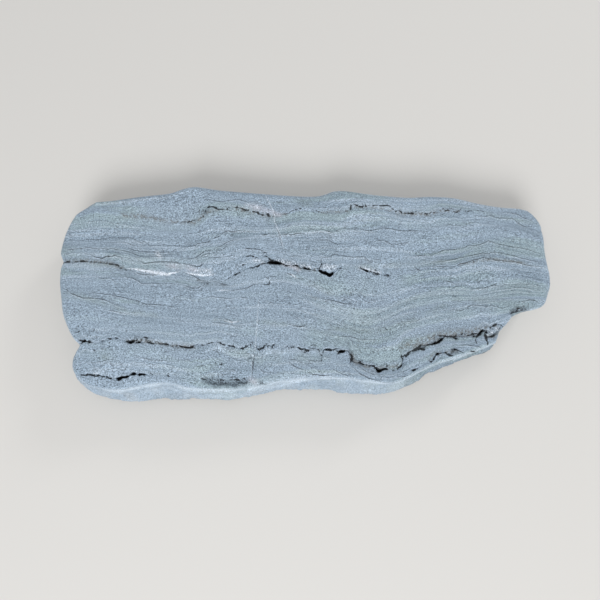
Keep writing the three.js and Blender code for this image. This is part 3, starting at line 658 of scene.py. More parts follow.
GREENISH = [
    [(-530, -2, 7), (-480, -11, 7), (-437, -26, 6), (-372, -46, 7), (-307, -54, 6)],
    [(-191, -63, 4), (-138, -66, 5), (-91, -66, 5), (-74, -68, 6), (-11, -76, 6), (36, -84, 7),
     (84, -82, 5)],
    [(84, -87, 4), (152, -86, 7), (190, -78, 8), (222, -63, 7), (265, -46, 7), (309, -26, 7),
     (362, -20, 8), (415, -24, 7), (457, -33, 6), (505, -24, 5)],
    [(-522, 58, 5), (-480, 56, 6), (-430, 58, 6), (-400, 52, 5), (-378, 46, 4)],
    [(86, 50, 6), (151, 54, 8), (205, 59, 8), (271, 65, 6), (330, 66, 5), (395, 74, 6), (460, 63, 5)],
    [(299, 193, 4), (386, 178, 5), (440, 161, 6), (495, 153, 6), (516, 148, 5)],
    [(-20, 200, 10), (10, 196, 9)],
    [(30, 176, 5), (75, 176, 6), (97, 180, 5)],
    [(-420, -140, 8), (-395, -146, 8)],
    [(-150, -130, 10), (-90, -150, 12), (-20, -140, 12), (60, -150, 14)],
]
LAYERED = [
    [(-500, 95, 28), (-400, 92, 28), (-330, 84, 26), (-240, 84, 20)],
    [(-150, 120, 18), (-60, 140, 22), (60, 100, 22)],
    [(270, 40, 26), (360, 60, 34), (450, 60, 34), (500, 30, 30)],
    [(250, -20, 26), (340, 0, 26), (460, -10, 26)],
    [(120, -150, 16), (200, -160, 16)],
]
PINK = [
    [(-132, 192, 5), (-114, 188, 7), (-92, 183, 8), (-79, 178, 6), (-55, 170, 4)],
    [(-300, 56, 6), (-262, 52, 7), (-236, 46, 6)],
    [(-47, 57, 4), (-29, 53, 4), (-14, 45, 4)],
    [(-114, -188, 6), (-104, -192, 7)],
]
# Broad painted shade where the tread dips.
DIP_SHADE = [
    [(-10, -25, 60), (90, -50, 70), (200, -60, 60)],
    [(110, -90, 40), (180, -80, 40)],
]
CHIPS = [
    [(36, 52, 4), (46, 52, 7), (62, 50, 5)],
    [(-128, 193, 3), (-112, 190, 4), (-104, 186, 4)],
    [(-110, 68, 4), (-92, 64, 4)],
    [(-62, 66, 3), (-40, 63, 5), (-20, 58, 5), (10, 52, 4)],
    [(-238, 44, 4), (-222, 42, 6), (-206, 43, 6)],
    [(-360, 46, 4), (-330, 41, 5), (-300, 38, 5)],
    [(391, -93, 5), (394, -92, 5)],
    [(404, -82, 4), (407, -82, 4)],
    [(118, 50, 4), (140, 46, 4), (160, 40, 4)],
    [(-320, 82, 6), (-315, 76, 5)],
]


FAR_AWAY = 8
MARK_FADE = (4, 6)


def segments(runs):
    for run in runs:
        yield from zip(run, run[1:])


def to_segment(start, end, x, y):
    """Distance, side (+1 or -1) and width of one segment, seen from every point."""
    along_x, along_y = end[0] - start[0], end[1] - start[1]
    from_x, from_y = x - start[0], y - start[1]
    t = np.clip((from_x * along_x + from_y * along_y) / (along_x**2 + along_y**2), 0, 1)
    away = np.hypot(from_x - t * along_x, from_y - t * along_y)
    side = np.where(along_x * from_y > along_y * from_x, 1.0, -1.0)
    return away, side, start[2] + (end[2] - start[2]) * t


def sharp_marks(runs, x, y):
    """Signed distance to the nearest run, and its width, which fades to 0 away from the run."""
    nearest = np.full(x.shape, np.inf)
    offset, width = np.zeros(x.shape), np.zeros(x.shape)
    for start, end in segments(runs):
        away, side, wide = to_segment(start, end, x, y)
        nearer = away < nearest
        nearest = np.where(nearer, away, nearest)
        offset = np.where(nearer, side * away, offset)
        width = np.where(nearer, wide, width)
    return np.clip(offset, -FAR_AWAY, FAR_AWAY), width * (1 - smoothstep(nearest, *MARK_FADE))


def soft_marks(runs, x, y):
    """1 on a run, fading out over about its width."""
    total = np.zeros(x.shape)
    for start, end in segments(runs):
        away, _, wide = to_segment(start, end, x, y)
        total = np.maximum(total, np.exp(-((away / wide) ** 2)))
    return total


def pointed(runs):
    """Runs of one width, as runs whose width halves at both tips."""
    for width, run in runs:
        last = len(run) - 1
        yield [(x, y, width * (0.5 if i in (0, last) else 1.0)) for i, (x, y) in enumerate(run)]


soft_count = len(RUST + GRIME_AND_SHADE + HOLLOW + GREENISH + LAYERED + PINK + DIP_SHADE + CHIPS)
print("drawn runs:", len(BEADED + HAIRLINES), "dark,", len(VEINS), "pale and", soft_count, "soft")

# %% [markdown]
# ## Rows and columns of the tread
# The tread is a sheet of rows that run from the left end to the right end. A guide row lies on
# each line of the map, and plain rows share out the strips between them. Rows are packed
# where a crack needs them. Each row also keeps its bed, a number that says which layer it
# belongs to: the relief and the colours use it so that their lines follow the layers.

# %% Lay out the rows
ROW_SPACING = 2.8
COLUMNS = 304
RIM_COLUMNS = np.array([0, 1.2, 3.0, 5.5, 8.5, 12.0])
END_PULL = 60
LEDGE_RUN = 3
BACK_ROWS, FRONT_ROWS = (0, -1.2, -3, -6, -10), (6, 3, 1.2, 0)
ROWS_IN_CRACK = (1.0, 0.86, 0.55, 0.0, -0.55, -0.86, -1.0)
SHOULDER = 1.3
COMMON_STRETCH = (-440, 390)


def shifted(line, shifts):
    return [lambda x, shift=shift: line(x) + shift for shift in shifts]


def shoulder(crack, side):
    return lambda x: crack.middle(x) + side * (crack.lip(x) + SHOULDER)


def crack_guides(crack):
    """Lines across one crack, from behind its back lip to before its front lip."""
    across = [lambda x, s=share: crack.middle(x) + s * crack.lip(x) for share in ROWS_IN_CRACK]
    return [shoulder(crack, 1), *across, shoulder(crack, -1)]


guides = [
    *shifted(back_edge, BACK_ROWS), *shifted(back_ledge, (LEDGE_RUN, 0, -LEDGE_RUN)),
    middle_band, low_band, *crack_guides(upper_crack), sag_band, green_band,
    *crack_guides(lower_crack), *crack_guides(front_crack), *shifted(front_edge, FRONT_ROWS),
]
stations = np.linspace(*COMMON_STRETCH, 400)
guide_beds = np.array([float(np.mean(line(stations))) for line in guides])


def share_at_end(end, line):
    """How far along an end's outline a guide line runs out, from 0 to 1."""
    points, length = end
    above = points[:, 1] > line(points[:, 0])
    crossing = int(np.argmin(above)) if not above.all() else len(above) - 1
    return length[crossing]


def point_at(end, share):
    points, length = end
    return np.array([np.interp(share, length, points[:, axis]) for axis in (0, 1)])


def make_row(lines, ends, share):
    """One row of points between two guides, bent at its tips to meet the outline."""
    def between(x):
        return lines[0](x) * (1 - share) + lines[1](x) * share

    left = point_at(left_end, ends[0][0] + (ends[1][0] - ends[0][0]) * share)
    right = point_at(right_end, ends[0][1] + (ends[1][1] - ends[0][1]) * share)
    length = right[0] - left[0]
    plain_count = COLUMNS - 2 * len(RIM_COLUMNS) + 2
    plain = np.linspace(RIM_COLUMNS[-1], length - RIM_COLUMNS[-1], plain_count)
    run = np.concatenate([RIM_COLUMNS, plain[1:-1], length - RIM_COLUMNS[::-1]])
    x = left[0] + run
    left_pull = np.clip(1 - run / END_PULL, 0, 1) ** 2
    right_pull = np.clip(1 - (length - run) / END_PULL, 0, 1) ** 2
    y = between(x) + (left[1] - between(left[0])) * left_pull
    return x, y + (right[1] - between(right[0])) * right_pull


ends = [(share_at_end(left_end, line), share_at_end(right_end, line)) for line in guides]
ends[0], ends[-1] = (0.0, 0.0), (1.0, 1.0)
rows, beds = [], []
for i in range(len(guides) - 1):
    gap = float(np.mean(guides[i](stations) - guides[i + 1](stations)))
    parts = max(1, round(gap / ROW_SPACING)) if gap > 2 * ROW_SPACING else 1
    for step in range(parts):
        rows.append(make_row(guides[i:i + 2], ends[i:i + 2], step / parts))
        beds.append(guide_beds[i] + (guide_beds[i + 1] - guide_beds[i]) * step / parts)
rows.append(make_row(guides[-2:], ends[-2:], 1.0))
beds.append(guide_beds[-1])
tread_x = np.array([row[0] for row in rows])
tread_y = np.array([row[1] for row in rows])
tread_bed = np.repeat(np.array(beds)[:, None], COLUMNS, axis=1)
print("tread:", tread_x.shape, "rows and columns")

# %% [markdown]
# ## The rim
# The outline of the tread, once round. Points near it are rounded over, so each needs its
# distance to the rim. A k-d tree answers that quickly.

# %% Walk round the rim
last_row, last_column = tread_x.shape[0] - 1, COLUMNS - 1
rim_cells = np.array(
    [(r, 0) for r in range(last_row)]
    + [(last_row, c) for c in range(last_column)]
    + [(r, last_column) for r in range(last_row, 0, -1)]
    + [(0, c) for c in range(last_column, 0, -1)]
)


def on_rim(grid):
    return grid[rim_cells[:, 0], rim_cells[:, 1]]


rim_x, rim_y = on_rim(tread_x), on_rim(tread_y)
rim_step = np.hypot(np.roll(rim_x, -1) - rim_x, np.roll(rim_y, -1) - rim_y)
rim_run = np.concatenate([[0], np.cumsum(rim_step)[:-1]])
RIM_LENGTH = float(rim_step.sum())


def distances_to_rim(x, y):
    finer = [np.stack([rim_x, rim_y], 1)]
    following = np.roll(finer[0], -1, axis=0)
    finer += [finer[0] + (following - finer[0]) * part for part in (1 / 3, 2 / 3)]
    near = np.vstack(finer)
    tree = KDTree(len(near))
    for i, (px, py) in enumerate(near):
        tree.insert((px, py, 0), i)
    tree.balance()
    found = [tree.find((px, py, 0))[2] for px, py in zip(x.ravel(), y.ravel())]
    return np.array(found).reshape(x.shape)


from_rim = distances_to_rim(tread_x, tread_y)
print("rim points:", len(rim_x), "once round, mm:", round(RIM_LENGTH))

# %% [markdown]
# ## Height of the tread
# First the broad shape, the same as the solid underneath: a slight crown, swells, the ledge
# near the back, the lower shelf at the right and the rounded rim. Then the weather's work on
# the layers: soft bands are worn back a little and hard ones stand out.

# %% Broad shape
TREAD_HEIGHT = 94
EDGE_RADIUS, EDGE_DROP, RADIUS_SWING = 10, 9, 0.3
CROWN_ACROSS, CROWN_ALONG = 4, 3
HALF_LENGTH, HALF_WIDTH = 532, 235
LEDGE_RISE = 3
SHELF_DROP, SHELF_START, SHELF_FULL = 7, 150, 240
SHELF_SLOPE = (-4, 2)
LONG_SWELL, SHORT_SWELL = 1.6, 0.8


def undulation(x, y):
    """Gentle swells of the tread, long and short, in mm."""
    long = np.sin(x / 95 + y / 210 + 0.6) * np.cos(y / 62 - 0.4)
    short = np.sin(x / 41 - y / 60 + 2.1) * np.sin(y / 24 + x / 300)
    return LONG_SWELL * long + SHORT_SWELL * short


def broad_height(x, y, inward):
    crown = CROWN_ACROSS * (y / HALF_WIDTH) ** 2 + CROWN_ALONG * (x / HALF_LENGTH) ** 2
    rise = LEDGE_RISE * smoothstep(y, back_ledge(x) - LEDGE_RUN, back_ledge(x) + LEDGE_RUN)
    before_crack = 1 - smoothstep(y - lower_crack.line(x), *SHELF_SLOPE)
    shelf = smoothstep(x, SHELF_START, SHELF_FULL) * before_crack
    radius = EDGE_RADIUS * (1 + RADIUS_SWING * ripple(x, y, 80, 80, 40))
    inset = np.clip(1 - inward / radius, 0, 1)
    rounding = EDGE_DROP * (1 - np.sqrt(1 - inset**2))
    return TREAD_HEIGHT + undulation(x, y) + rise - crown - SHELF_DROP * shelf - rounding


print("rim: falls", EDGE_DROP, "mm over about", EDGE_RADIUS, "mm; shelf:", SHELF_DROP, "mm down")

# %% Weathered layers
WIDE_RIDGE, FINE_RIDGE, SAW_RIDGE = 0.2, 0.18, 0.35
SAWS_PER_RIPPLE = 2.2
ROUGH = 0.05
HOLLOW_DEPTH = 9
BEAD_DEPTH, FULL_BEAD = 3, 6
PITTING, PITTING_LEVEL, PITTING_SWING = 2.0, 0.6, 0.5
CHIP_RISE = 0.8


def layer_relief(x, bed):
    """Ridges and grooves along the layers, and saw-toothed steps across them, in mm."""
    wide = ripple(x, bed, 420, 21, 41)
    fine = ripple(x, bed, 260, 8.5, 42)
    saws = ripple(x, bed, 240, 60, 43) * SAWS_PER_RIPPLE
    return WIDE_RIDGE * wide + FINE_RIDGE * fine + SAW_RIDGE * (saws - np.round(saws))


def roughness(x, y):
    return ROUGH * (ripple(x, y, 9, 8, 51) + ripple(x, y, 5.5, 5, 52))


tread = tread_x, tread_y
bead_offset, bead_width = sharp_marks(BEADED, *tread)
inside_bead = np.clip(1 - np.abs(bead_offset) / (0.5 * bead_width + 1), 0, 1)
bead_dent = BEAD_DEPTH * inside_bead * np.minimum(bead_width / FULL_BEAD, 1)
crack_depth = np.max([crack.depth(*tread) for crack in cracks], axis=0)
tread_grime_and_shade = soft_marks(GRIME_AND_SHADE, *tread)
tread_chips = soft_marks(CHIPS, *tread)
pitting = PITTING * tread_grime_and_shade * (PITTING_LEVEL + PITTING_SWING * ripple(*tread, 7, 6, 53))
tread_z = broad_height(*tread, from_rim) - crack_depth
tread_z = tread_z + layer_relief(tread_x, tread_bed) + roughness(*tread)
tread_z = tread_z - HOLLOW_DEPTH * soft_marks(HOLLOW, *tread) - bead_dent
tread_z = tread_z - pitting + CHIP_RISE * tread_chips
print("tread height, mm:", round(float(tread_z.min()), 1), "to", round(float(tread_z.max()), 1))

# %% [markdown]
# ## The sides
# The side is a stack of rings below the rim. At the front the layers lean out, so it slopes;
# at the back it tucks in. A ledge runs round where the upper layers have split away. The
# foot turns under to the flat bed that the stone rests on.
#
# Broken rock has three kinds of detail, and each gets its own rule. The front and back are
# split faces, so thin sheets have come off them and left flat steps. The ends cut across the
# layers, so hard layers stand out like the pages of a worn book. And everywhere blows have
# taken shell-shaped flakes, each a shallow bowl with a sharp edge.

# %% Side rings
BACK_TUCK, END_TUCK = 12, 5
FACING = (0.1, 0.8)
FOOT_HEIGHT, FOOT_INSET = 11, 9
SIDE_LUMP, SLOW_SHARE, QUICK_SHARE, FINE_SHARE = 5, 0.6, 0.28, 0.12
SIDE_STEP, STEP_SPREAD, BELLY = 5, 0.05, 2
LEDGE_SHARE, LEDGE_SLOW, LEDGE_QUICK = 0.42, 0.15, 0.05
CORE_LEFT, CORE_RIGHT = -300, 250
LAYER_LEAN = 0.3
BAY_X, BAY_Y, BAY_REACH, BAY_LEAN = 456, -44, 20, 8

core_x = np.clip(rim_x, CORE_LEFT, CORE_RIGHT)
reach = np.hypot(rim_x - core_x, rim_y)
out_x, out_y = (rim_x - core_x) / reach, rim_y / reach
front_share = smoothstep(-out_y, *FACING)
back_share = smoothstep(out_y, *FACING)
end_share = 1 - front_share - back_share
lean = smooth_line(FRONT_RUN)(rim_x) * front_share - BACK_TUCK * back_share - END_TUCK * end_share
rim_z = on_rim(tread_z)
for facing, part in (("front", front_share), ("back", back_share), ("ends", end_share)):
    print("share of the rim that faces the", facing, "-", round(float(part.mean()), 2))


def softened(values, passes=24):
    """A closed line with its sharp corners worn off."""
    for _ in range(passes):
        values = (np.roll(values, 1) + 2 * values + np.roll(values, -1)) / 4
    return values


worn_x, worn_y = softened(rim_x), softened(rim_y)


def side_lump(z):
    """Lumps of the side in three sizes, in mm."""
    slow = np.sin(rim_x / 47 + z / 31) * np.cos(rim_y / 38 - z / 44 + 1.2)
    quick = np.sin(rim_x / 19 - rim_y / 23 + z / 12)
    fine = np.sin(rim_x / 8 + rim_y / 11 - z / 9)
    return SIDE_LUMP * (SLOW_SHARE * slow + QUICK_SHARE * quick + FINE_SHARE * fine)


ledge_share = LEDGE_SHARE + LEDGE_SLOW * np.sin(rim_x / 120 + rim_y / 90)
ledge_share = ledge_share + LEDGE_QUICK * np.sin(rim_x / 31 - rim_y / 70)


def side_out(share, z):
    """How far the side stands out from the rim, in mm, from 0 at the rim to 1 at the foot."""
    below = smoothstep(share, ledge_share - STEP_SPREAD, ledge_share + STEP_SPREAD)
    step = np.sign(lean) * SIDE_STEP * (below - share)
    return (lean + side_lump(z)) * share + step + BELLY * math.sin(math.pi * share)


def bed_at(x, y):
    """Which layer a point of the map lies in."""
    lines = np.array([line(x) for line in guides])
    k = np.clip((lines > y).sum(axis=0) - 1, 0, len(guides) - 2)
    column = np.arange(len(x))
    upper, lower = lines[k, column], lines[k + 1, column]
    t = np.clip((upper - y) / np.maximum(upper - lower, 0.01), 0, 1)
    inside = guide_beds[k] + (guide_beds[k + 1] - guide_beds[k]) * t
    return inside + np.maximum(y - lines[0], 0) - np.maximum(lines[-1] - y, 0)


# %% Flakes, split sheets and worn pages
FLAKE_HEIGHTS, FLAKE_FLATNESS = (5, 92), 1.3
PAGE_COUNT, PAGE_THICKNESS, FIRST_PAGE = 120, (3.5, 15), -330
SHEET_SWELL, SHEET_RAGGED, SHEET_EDGE = 1.3, 0.2, 0.08


def flakes(run, z, seed, count, radii, depths):
    """Shell-shaped hollows knocked out of the side: the deepest bowl at each point, in mm."""
    rng = np.random.default_rng(seed)
    cut = np.zeros(run.shape)
    for _ in range(count):
        centre_run, centre_z = rng.uniform(0, RIM_LENGTH), rng.uniform(*FLAKE_HEIGHTS)
        radius, depth = rng.uniform(*radii), rng.uniform(*depths)
        sideways = np.abs(run - centre_run)
        sideways = np.minimum(sideways, RIM_LENGTH - sideways)
        spread = (sideways**2 + (FLAKE_FLATNESS * (z - centre_z)) ** 2) / radius**2
        cut = np.maximum(cut, depth * (1 - spread))
    return cut


def pages(bed, seed):
    """Layers of random thickness, each worn back by its own amount."""
    rng = np.random.default_rng(seed)
    edges = np.cumsum(rng.uniform(*PAGE_THICKNESS, PAGE_COUNT)) + FIRST_PAGE
    worn = rng.uniform(-1, 1, len(edges) + 1)
    return worn[np.searchsorted(edges, bed)]


def split_sheets(x, z):
    """Flat steps left by thick and thin sheets that have come away, in mm."""
    total = 0
    for thick, long, high, seed in SHEETS:
        ragged_edge = SHEET_RAGGED * ripple(x, z, long / 6, high / 4, seed + 1)
        field = SHEET_SWELL * ripple(x, z, long, high, seed) + ragged_edge
        total = total + thick * terraces(field, SHEET_EDGE)
    return total


SIDE_SHARES = np.linspace(0, 1, 33)[1:]
TURN_SHARES = (0.3, 0.65, 1.0)
END_CRACK_DEPTH, END_CRACK_WIDTH = 6, 1.6
SHEETS = ((3.2, 150, 50, 61), (1.3, 80, 24, 71))
SHEETS_AT_FRONT, SHEETS_AT_END = 0.75, 0.3
PAGE_RELIEF, PAGE_RIDGE = 2.2, 0.6
BIG_FLAKES = {"seed": 65, "count": 150, "radii": (18, 60), "depths": (2.5, 9)}
SMALL_FLAKES = {"seed": 66, "count": 420, "radii": (4, 12), "depths": (0.8, 3)}
FEWER_BIG, FEWER_SMALL = 0.5, 0.3
GRAINS = ((0.35, 14, 9, 62), (0.2, 6, 6, 64))
ROCK_LEFT_PROUD = 1.8
upper_bed, lower_bed = (float(np.mean(crack.line(stations))) for crack in (upper_crack, lower_crack))


def end_crack(bed):
    """1 where a crack of the tread runs on down an end, 0 a few mm beside it."""
    lower = np.exp(-(((bed - lower_bed) / END_CRACK_WIDTH) ** 2))
    upper = np.exp(-(((bed - upper_bed) / END_CRACK_WIDTH) ** 2))
    return np.maximum(lower, upper * (rim_x < 0))


side_rings, side_split = [], []
for share in SIDE_SHARES:
    z = rim_z + (FOOT_HEIGHT - rim_z) * share
    bay = BAY_LEAN * np.exp(-((rim_x - BAY_X) ** 2 + (rim_y - BAY_Y) ** 2) / BAY_REACH**2)
    out = side_out(share, z) + bay * smoothstep(share, 0.1, 0.5)
    wear = smoothstep(share, 0.02, 0.35)
    x = rim_x + (worn_x - rim_x) * wear + out_x * out
    y = rim_y + (worn_y - rim_y) * wear + out_y * out
    bed = bed_at(x, y + (TREAD_HEIGHT - z) * LAYER_LEAN)
    grown = smoothstep(share, 0, 0.16)
    split_face = SHEETS_AT_FRONT * front_share + back_share + SHEETS_AT_END * end_share
    worn = PAGE_RELIEF * pages(bed, 63) + PAGE_RIDGE * layer_relief(x + z, bed)
    knocked = flakes(rim_run, z, **BIG_FLAKES) * (1 - FEWER_BIG * front_share)
    nicked = flakes(rim_run, z, **SMALL_FLAKES) * (1 - FEWER_SMALL * front_share)
    grain = sum(height * ripple(x + y, z, along, up, seed) for height, along, up, seed in GRAINS)
    proud = split_sheets(x, z) * split_face + worn * end_share + grain + ROCK_LEFT_PROUD
    split = end_crack(bed) * end_share * (1 - smoothstep(share, 0.45, 0.95))
    relief = grown * (proud - np.maximum(knocked, nicked)) - END_CRACK_DEPTH * split
    side_rings.append((x + out_x * relief, y + out_y * relief, z, bed))
    side_split.append(split)
foot_out = side_out(1.0, np.full_like(rim_x, FOOT_HEIGHT)) - 0.5
for turned in TURN_SHARES:
    out = foot_out - FOOT_INSET * turned
    z = np.full_like(rim_x, FOOT_HEIGHT * (1 - turned) ** 2)
    x, y = worn_x + out_x * out, worn_y + out_y * out
    side_rings.append((x, y, z, bed_at(x, y + (TREAD_HEIGHT - z) * LAYER_LEAN)))
print("side rings:", len(side_rings), "of", len(rim_x), "points")

# %% [markdown]
# ## The bed face
# The underside is flat where it rests, with a shallow hollow further in, as a split face has.
# Nobody sees it until the stone is lifted, but it is finished all the same.

# %% Underside rings
HOLLOW_RISE = 2.5
UNDER_SHARES = (0.06, 0.2, 0.4, 0.65)
SIDE_RING_COUNT = len(side_rings)
last_x, last_y = side_rings[-1][:2]
for share in UNDER_SHARES:
    x = last_x + (core_x - last_x) * share
    y = last_y * (1 - share)
    z = HOLLOW_RISE * smoothstep(share, 0.05, 0.5) * (0.6 + 0.4 * np.sin(x / 60) * np.cos(y / 40))
    side_rings.append((x, y, z, bed_at(x, y + TREAD_HEIGHT * LAYER_LEAN)))
print("underside rings:", len(UNDER_SHARES), "and the flat middle")

# %% Sew the skin together
MAP_MIDDLE = (-0.84, 2.2)


def sew():
    tread_count = tread_x.size
    ids = np.arange(tread_count).reshape(tread_x.shape)
    a, b = ids[:-1, :-1], ids[1:, :-1]
    c, d = ids[1:, 1:], ids[:-1, 1:]
    quads = [np.stack([a, b, c, d], -1).reshape(-1, 4)]
    above = on_rim(ids)
    for number in range(len(side_rings)):
        ring = tread_count + number * len(rim_x) + np.arange(len(rim_x))
        quads.append(np.stack([above, ring, np.roll(ring, -1), np.roll(above, -1)], -1))
        above = ring
    faces = np.vstack(quads).tolist() + [above[::-1].tolist()]
    columns = [np.concatenate([flat.ravel(), *[ring[i] for ring in side_rings]])
               for i, flat in enumerate((tread_x, tread_y, tread_z, tread_bed))]
    return np.stack(columns[:3], -1), columns[3], faces


points, bed, faces = sew()
map_x, map_y = points[:, 0].copy(), points[:, 1].copy()
points[:, :2] -= MAP_MIDDLE
mesh = bpy.data.meshes.new("stone_skin")
mesh.from_pydata((points * MM).tolist(), [], faces)
mesh.polygons.foreach_set("use_smooth", np.ones(len(mesh.polygons), bool))
stone = bpy.data.objects.new("stone_skin", mesh)
scene.collection.objects.link(stone)
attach(stone, "root")
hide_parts(STONE)
triangles = sum(len(face) - 2 for face in faces)
print("stone skin:", len(points), "points,", triangles, "triangles")

# %% [markdown]
# ## Unwrap the skin
# The finish is solid, so it needs no unwrapping to render. A flat map is wanted when the colours
# are baked into a picture: the tread lies across the sheet as seen from above, the side wall
# below it in three strips, and the bed face in what is left, smaller, since it is never seen.

# %% Flat map for baking
SHEET = 1080
STRIPS = 3
STRIP_HEIGHT, STRIP_GAP, TREAD_TOP = 112, 14, 478
BED_SCALE, BED_TOP = 0.4, 870


def flat_map():
    """One (u, v) for each corner of each face, in mm on a sheet SHEET mm wide."""
    tread_faces = (tread_x.shape[0] - 1) * (COLUMNS - 1)
    corners = np.array(faces[:-1])
    u, v = map_x[corners] + SHEET / 2, map_y[corners] + TREAD_TOP / 2
    around = np.arange(len(rim_x))
    per_strip = -(-len(rim_x) // STRIPS)
    strip = around // per_strip
    start = rim_run[strip * per_strip]
    run = np.stack([rim_run, rim_run, rim_run + rim_step, rim_run + rim_step], -1) - start[:, None]
    for number in range(SIDE_RING_COUNT):
        rows_down = (number + np.array([0, 1, 1, 0])) / SIDE_RING_COUNT
        first = tread_faces + number * len(rim_x)
        u[first:first + len(rim_x)] = run
        v[first:first + len(rim_x)] = (TREAD_TOP + (strip * (STRIP_HEIGHT + STRIP_GAP))[:, None]
                                       + rows_down[None, :] * STRIP_HEIGHT)
    under = tread_faces + SIDE_RING_COUNT * len(rim_x)
    bed_u, bed_v = (map_x + SHEET / 2) * BED_SCALE, (map_y + TREAD_TOP / 2) * BED_SCALE + BED_TOP
    u[under:], v[under:] = bed_u[corners[under:]], bed_v[corners[under:]]
    last = faces[-1]
    u, v = np.append(u.ravel(), bed_u[last]), np.append(v.ravel(), bed_v[last])
    return np.stack([u, v], -1) / SHEET


uv = flat_map()
layer_uv = mesh.uv_layers.new(name="OFBake")
layer_uv.data.foreach_set("uv", uv.ravel())
print("flat map reaches:", uv.min(axis=0).round(3), "to", uv.max(axis=0).round(3))

# %% [markdown]
# ## What the mesh tells the shader
# Each point keeps a few plain numbers: its layer, how deep in a crack it lies, its distance to
# the drawn hairlines and veins, how rusty, grimy, chipped or worn it is, and where painted shade
# and painted highlight go. The shader reads them by name. They ride with the mesh, so the finish
# never slides off the shape.

# %% Numbers kept on the mesh
HOLLOW_FADE = (66, 84)
HOLLOW_SHADE = 0.18
SHALLOW_GAP, GAP_RANGE = 1.3, 8.0
PIT_GAP, PIT_BACK = 0.13, 12
WEAR_AND_HIGHLIGHT_REACH, WEAR_RINGS = 7, 5
SOIL_HEIGHT = 20
FRONT_TO_SHELF = (195, 260)
FRONT_BAND, FRONT_FADE = 5, 6
LAYERED_SIDE = 0.5


def keep_on_mesh(name, tread_values, side_values=0.0):
    """Keeps one number a point: the tread's grid, then the rings below it."""
    below = np.zeros(len(points) - tread_x.size) + side_values
    attribute = mesh.attributes.new(name, "FLOAT", "POINT")
    values = np.concatenate([np.ravel(tread_values), below])
    attribute.data.foreach_set("value", values.astype(np.float32))


below_tread = np.arange(len(points) - tread_x.size) // len(rim_x)
ring_height = points[tread_x.size:, 2]
no_tread = np.zeros(tread_x.shape)

# %% Gaps: how dark the painted shade is in the cracks and pits of the tread, the cracks down the ends and the hollow at the bay
end_gap = np.zeros(len(below_tread))
end_gap[:len(side_split) * len(rim_x)] = np.concatenate(side_split)
pitted = front_crack.pitted(tread_x) & (tread_y < front_crack.line(tread_x) + PIT_BACK)
tread_gap = np.clip((crack_depth - SHALLOW_GAP) / GAP_RANGE, 0, 1) * np.where(pitted, PIT_GAP, 1)
# The hollow at the bay gets a little painted shade.
hollow = HOLLOW_SHADE * soft_marks(HOLLOW, map_x, map_y) * smoothstep(points[:, 2], *HOLLOW_FADE)
tread_hollow, side_hollow = hollow[:tread_x.size], hollow[tread_x.size:]
keep_on_mesh("gap", np.maximum(tread_gap.ravel(), tread_hollow), np.maximum(end_gap, side_hollow))
print("points of the tread inside an open gap:", int((tread_gap > 0.5).sum()))

# %% Drawn marks: signed distance and width for the sharp ones, strength for the soft ones
sharp = {
    "bead": (bead_offset, bead_width),
    "hair": sharp_marks(pointed(HAIRLINES), *tread),
    "vein": sharp_marks(VEINS, *tread),
}
for name, (offset, width) in sharp.items():
    keep_on_mesh(name, offset * MM, FAR_AWAY * MM)
    keep_on_mesh(name + "_width", width * MM)
keep_on_mesh("grime_and_shade", tread_grime_and_shade)
keep_on_mesh("chip", tread_chips)
for name, runs in {"rust": RUST, "dip_shade": DIP_SHADE, "pink": PINK, "greenish": GREENISH}.items():
    keep_on_mesh(name, soft_marks(runs, *tread))
keep_on_mesh("layered", soft_marks(LAYERED, *tread), LAYERED_SIDE)
print("kept so far:", ", ".join(sorted(a.name for a in mesh.attributes if a.data_type == "FLOAT")))

# %% Where on the stone: layer, side, worn rim with painted highlight, smooth front with painted light, soil at the foot
near_front = smoothstep(front_edge(tread_x) + FRONT_BAND - tread_y, 0, FRONT_FADE)
tread_lit_front = near_front * (1 - smoothstep(tread_x, *FRONT_TO_SHELF))
side_lit_front = np.tile(front_share * (1 - smoothstep(rim_x, *FRONT_TO_SHELF)), len(side_rings))
# The smooth front: less grain there, and paler paint standing in for the light it faces.
keep_on_mesh("smooth_lit_front", tread_lit_front, side_lit_front)
keep_on_mesh("bed", bed[:tread_x.size] * MM, bed[tread_x.size:] * MM)
keep_on_mesh("side", no_tread, smoothstep(below_tread, 1, WEAR_RINGS))
# The rim band: less grain where it is worn, and a painted highlight along the edge.
keep_on_mesh("wear", np.clip(1 - from_rim / WEAR_AND_HIGHLIGHT_REACH, 0, 1), np.clip(1 - below_tread / WEAR_RINGS, 0, 1))
keep_on_mesh("soil", no_tread, smoothstep(SOIL_HEIGHT - ring_height, 0, SOIL_HEIGHT))
print("numbers kept on each point:", len(mesh.attributes))

# %% [markdown]
# ## Shader arithmetic
# Node trees are easier to read as sums. Shade wraps one socket, and + - * / on it add Math
# nodes. Recipe fills one node tree, and Recipe.node adds any other node: its type, its settings,
# then its sockets.

# %% Shade and Recipe
class Shade:
    def __init__(self, recipe, socket):
        self.recipe = recipe
        self.socket = socket

    def math(self, operation, *others, clamp=False):
        sockets = {i: value for i, value in enumerate((self, *others))}
        settings = {"operation": operation, "use_clamp": clamp}
        return self.recipe.node("ShaderNodeMath", settings, sockets)

    def __add__(self, other):
        return self.math("ADD", other)

    def __sub__(self, other):
        return self.math("SUBTRACT", other)

    def __mul__(self, other):
        return self.math("MULTIPLY", other)

    def __truediv__(self, other):
        return self.math("DIVIDE", other)

    def __rsub__(self, other):
        return (self * -1) + other

    __radd__ = __add__
    __rmul__ = __mul__

    def clamped(self):
        return self.math("ADD", 0.0, clamp=True)

    def size(self):
        return self.math("ABSOLUTE")

    def between(self, low, high):
        """0 at low and 1 at high, straight between them."""
        return ((self - low) / (high - low)).clamped()


